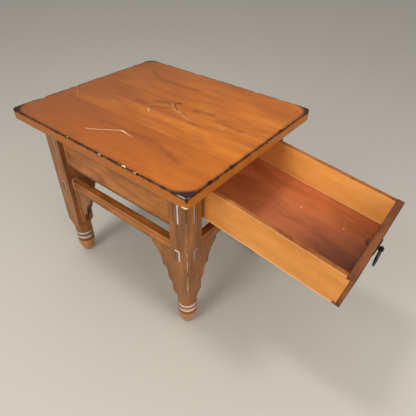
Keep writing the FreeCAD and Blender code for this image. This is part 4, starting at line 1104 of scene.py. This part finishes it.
class TAVERN_OT_rails(bpy.types.Operator):
    """Finishes the aprons, the stretchers and the rail above the drawer"""
    bl_idname = "tavern.rails"
    bl_label = "Aprons and stretchers"

    def execute(self, context):
        ease = settings().sizes.ease
        stained = [rail_wood()]
        eased_group(["apron_left", "apron_right"], stained, "X", ease, mark_aprons)
        eased_group(["stretcher_left", "stretcher_right"], stained, "X", ease, mark_ends)
        crosswise = ["apron_rear", "stretcher_front", "stretcher_rear", "front_top_rail"]
        eased_group(crosswise, stained, "Y", ease)
        return {"FINISHED"}


class TAVERN_OT_drawer(bpy.types.Operator):
    """Finishes the drawer: stained front, pale sides and back, red-brown bottom"""
    bl_idname = "tavern.drawer"
    bl_label = "Drawer"

    def execute(self, context):
        sizes = settings().sizes
        outside = side_wood()
        sides = ["drawer_side_left", "drawer_side_right"]
        eased_group(["drawer_front"], [front_wood()], "Y", sizes.ease)
        eased_group(sides, [outside, inside_wood()], "X", sizes.fine_ease, mark_sides)
        eased_group(["drawer_back"], [outside], "Y", sizes.fine_ease)
        eased_group(["drawer_bottom"], [plywood()], "X", sizes.fine_ease)
        return {"FINISHED"}


class TAVERN_OT_bearers(bpy.types.Operator):
    """Finishes what carries the drawer and holds the top: runners, guides, stops, roller and blocks"""
    bl_idname = "tavern.bearers"
    bl_label = "Bearers and blocks"

    def execute(self, context):
        ease = settings().sizes.fine_ease
        plain = [bearer_wood()]
        lengthwise = ["drawer_runner_left", "drawer_runner_right", "drawer_guide_left",
                      "drawer_guide_right", "drawer_stops", "top_fixing_blocks"]
        eased_group(lengthwise, plain, "X", ease)
        eased_group(["drawer_roller"], plain, "Y", ease)
        eased_group(["bracket_dowels"], plain, "Z", ease)
        return {"FINISHED"}


class TAVERN_OT_pull(bpy.types.Operator):
    """Finishes the iron ring pull and the steel fasteners"""
    bl_idname = "tavern.pull"
    bl_label = "Ring pull and fasteners"

    def execute(self, context):
        colours = settings().colours
        ease = settings().sizes.fine_ease / 2
        iron = forged_iron("black_waxed_iron", colours.iron, gloss=0.25, coat=0.35)
        browned = forged_iron("browned_iron", colours.browned, gloss=0.65, coat=0.0)
        eased_group(["pull_post", "pull_ring"], [iron, browned], "Y", ease, mark_bolt)
        eased_group(["pull_rosette"], [iron], "Y", ease, flatten_plate)
        eased_group(["pull_washer", "pull_nut"], [browned], "Y", ease)
        eased_group(["top_fixing_screws"], [zinc_steel()], "Y", ease / 2)
        return {"FINISHED"}


class TAVERN_OT_stage(bpy.types.Operator):
    """Makes the pale floor, the soft lights and the camera at the photograph's place"""
    bl_idname = "tavern.stage"
    bl_label = "Stage"

    def execute(self, context):
        make_floor()
        make_room()
        make_lamps()
        make_camera()
        return {"FINISHED"}


def make_floor():
    """A large plain floor under the table."""
    bm = bmesh.new()
    bmesh.ops.create_grid(bm, x_segments=1, y_segments=1, size=FLOOR_HALF)
    mesh = bpy.data.meshes.new("floor")
    bm.to_mesh(mesh)
    bm.free()
    mesh.materials.append(plain_floor())
    new_object("floor", mesh)


def make_room():
    """A dim soft room that gets lighter from the horizon up."""
    world = bpy.data.worlds.new("soft_room")
    world.use_nodes = True
    tree = world.node_tree
    tree.nodes.clear()
    facing = add(tree, "VectorMath DOT_PRODUCT", add(tree, "TexCoord", out="Generated"), (0, 0, 1))
    strength = add(tree, RAMP, facing, 0, 1, ROOM_LOW, ROOM_HIGH)
    background = add(tree, "Background", {"Color": settings().colours.room, "Strength": strength})
    add(tree, "OutputWorld", background)
    bpy.context.scene.world = world


def make_lamps():
    """A tall window to the left, a thin lamp in front, and soft lamps to the right and overhead."""
    middle = (CAD_LOW + CAD_HIGH) / 2
    for name, place, length, width, power in LAMPS:
        lamp = bpy.data.lights.new(name, "AREA")
        lamp.shape = "RECTANGLE"
        lamp.size = length
        lamp.size_y = width
        lamp.energy = power
        light = new_object(name, lamp)
        light.location = place
        light.rotation_euler = (middle - Vector(place)).to_track_quat("-Z", "Y").to_euler()


def make_camera():
    """A camera where the photograph was taken."""
    data = bpy.data.cameras.new("camera")
    data.sensor_width = SENSOR
    data.lens = LENS
    data.clip_start = 0.05
    camera = new_object("camera", data)
    camera.location = CAMERA_PLACE
    camera.rotation_euler = [math.radians(angle) for angle in CAMERA_TURN]
    bpy.context.scene.camera = camera
    bpy.context.scene.view_settings.view_transform = "Standard"


class TAVERN_PT_panel(bpy.types.Panel):
    """Lists the pieces in the order in which they are made"""
    bl_idname = "TAVERN_PT_panel"
    bl_label = "Tavern end table"
    bl_space_type = "VIEW_3D"
    bl_region_type = "UI"
    bl_category = "Table"

    def draw(self, context):
        for operator in OPERATORS:
            self.layout.operator(operator.bl_idname)
        for group in (settings().sizes, settings().colours):
            for name in group.__annotations__:
                self.layout.prop(group, name)


OPERATORS = (TAVERN_OT_top, TAVERN_OT_legs, TAVERN_OT_rails, TAVERN_OT_drawer, TAVERN_OT_bearers,
             TAVERN_OT_pull, TAVERN_OT_stage)
CLASSES = (TableColours, TableSizes, TableSettings, *OPERATORS, TAVERN_PT_panel)


def register():
    for kind in CLASSES:
        bpy.utils.register_class(kind)
    bpy.types.Scene.tavern_table = bpy.props.PointerProperty(type=TableSettings)


def unregister():
    del bpy.types.Scene.tavern_table
    for kind in reversed(CLASSES):
        bpy.utils.unregister_class(kind)


def main():
    register()
    for operator in OPERATORS:
        group, name = operator.bl_idname.split(".")
        getattr(getattr(bpy.ops, group), name)()


if __name__ == "__main__":
    main()
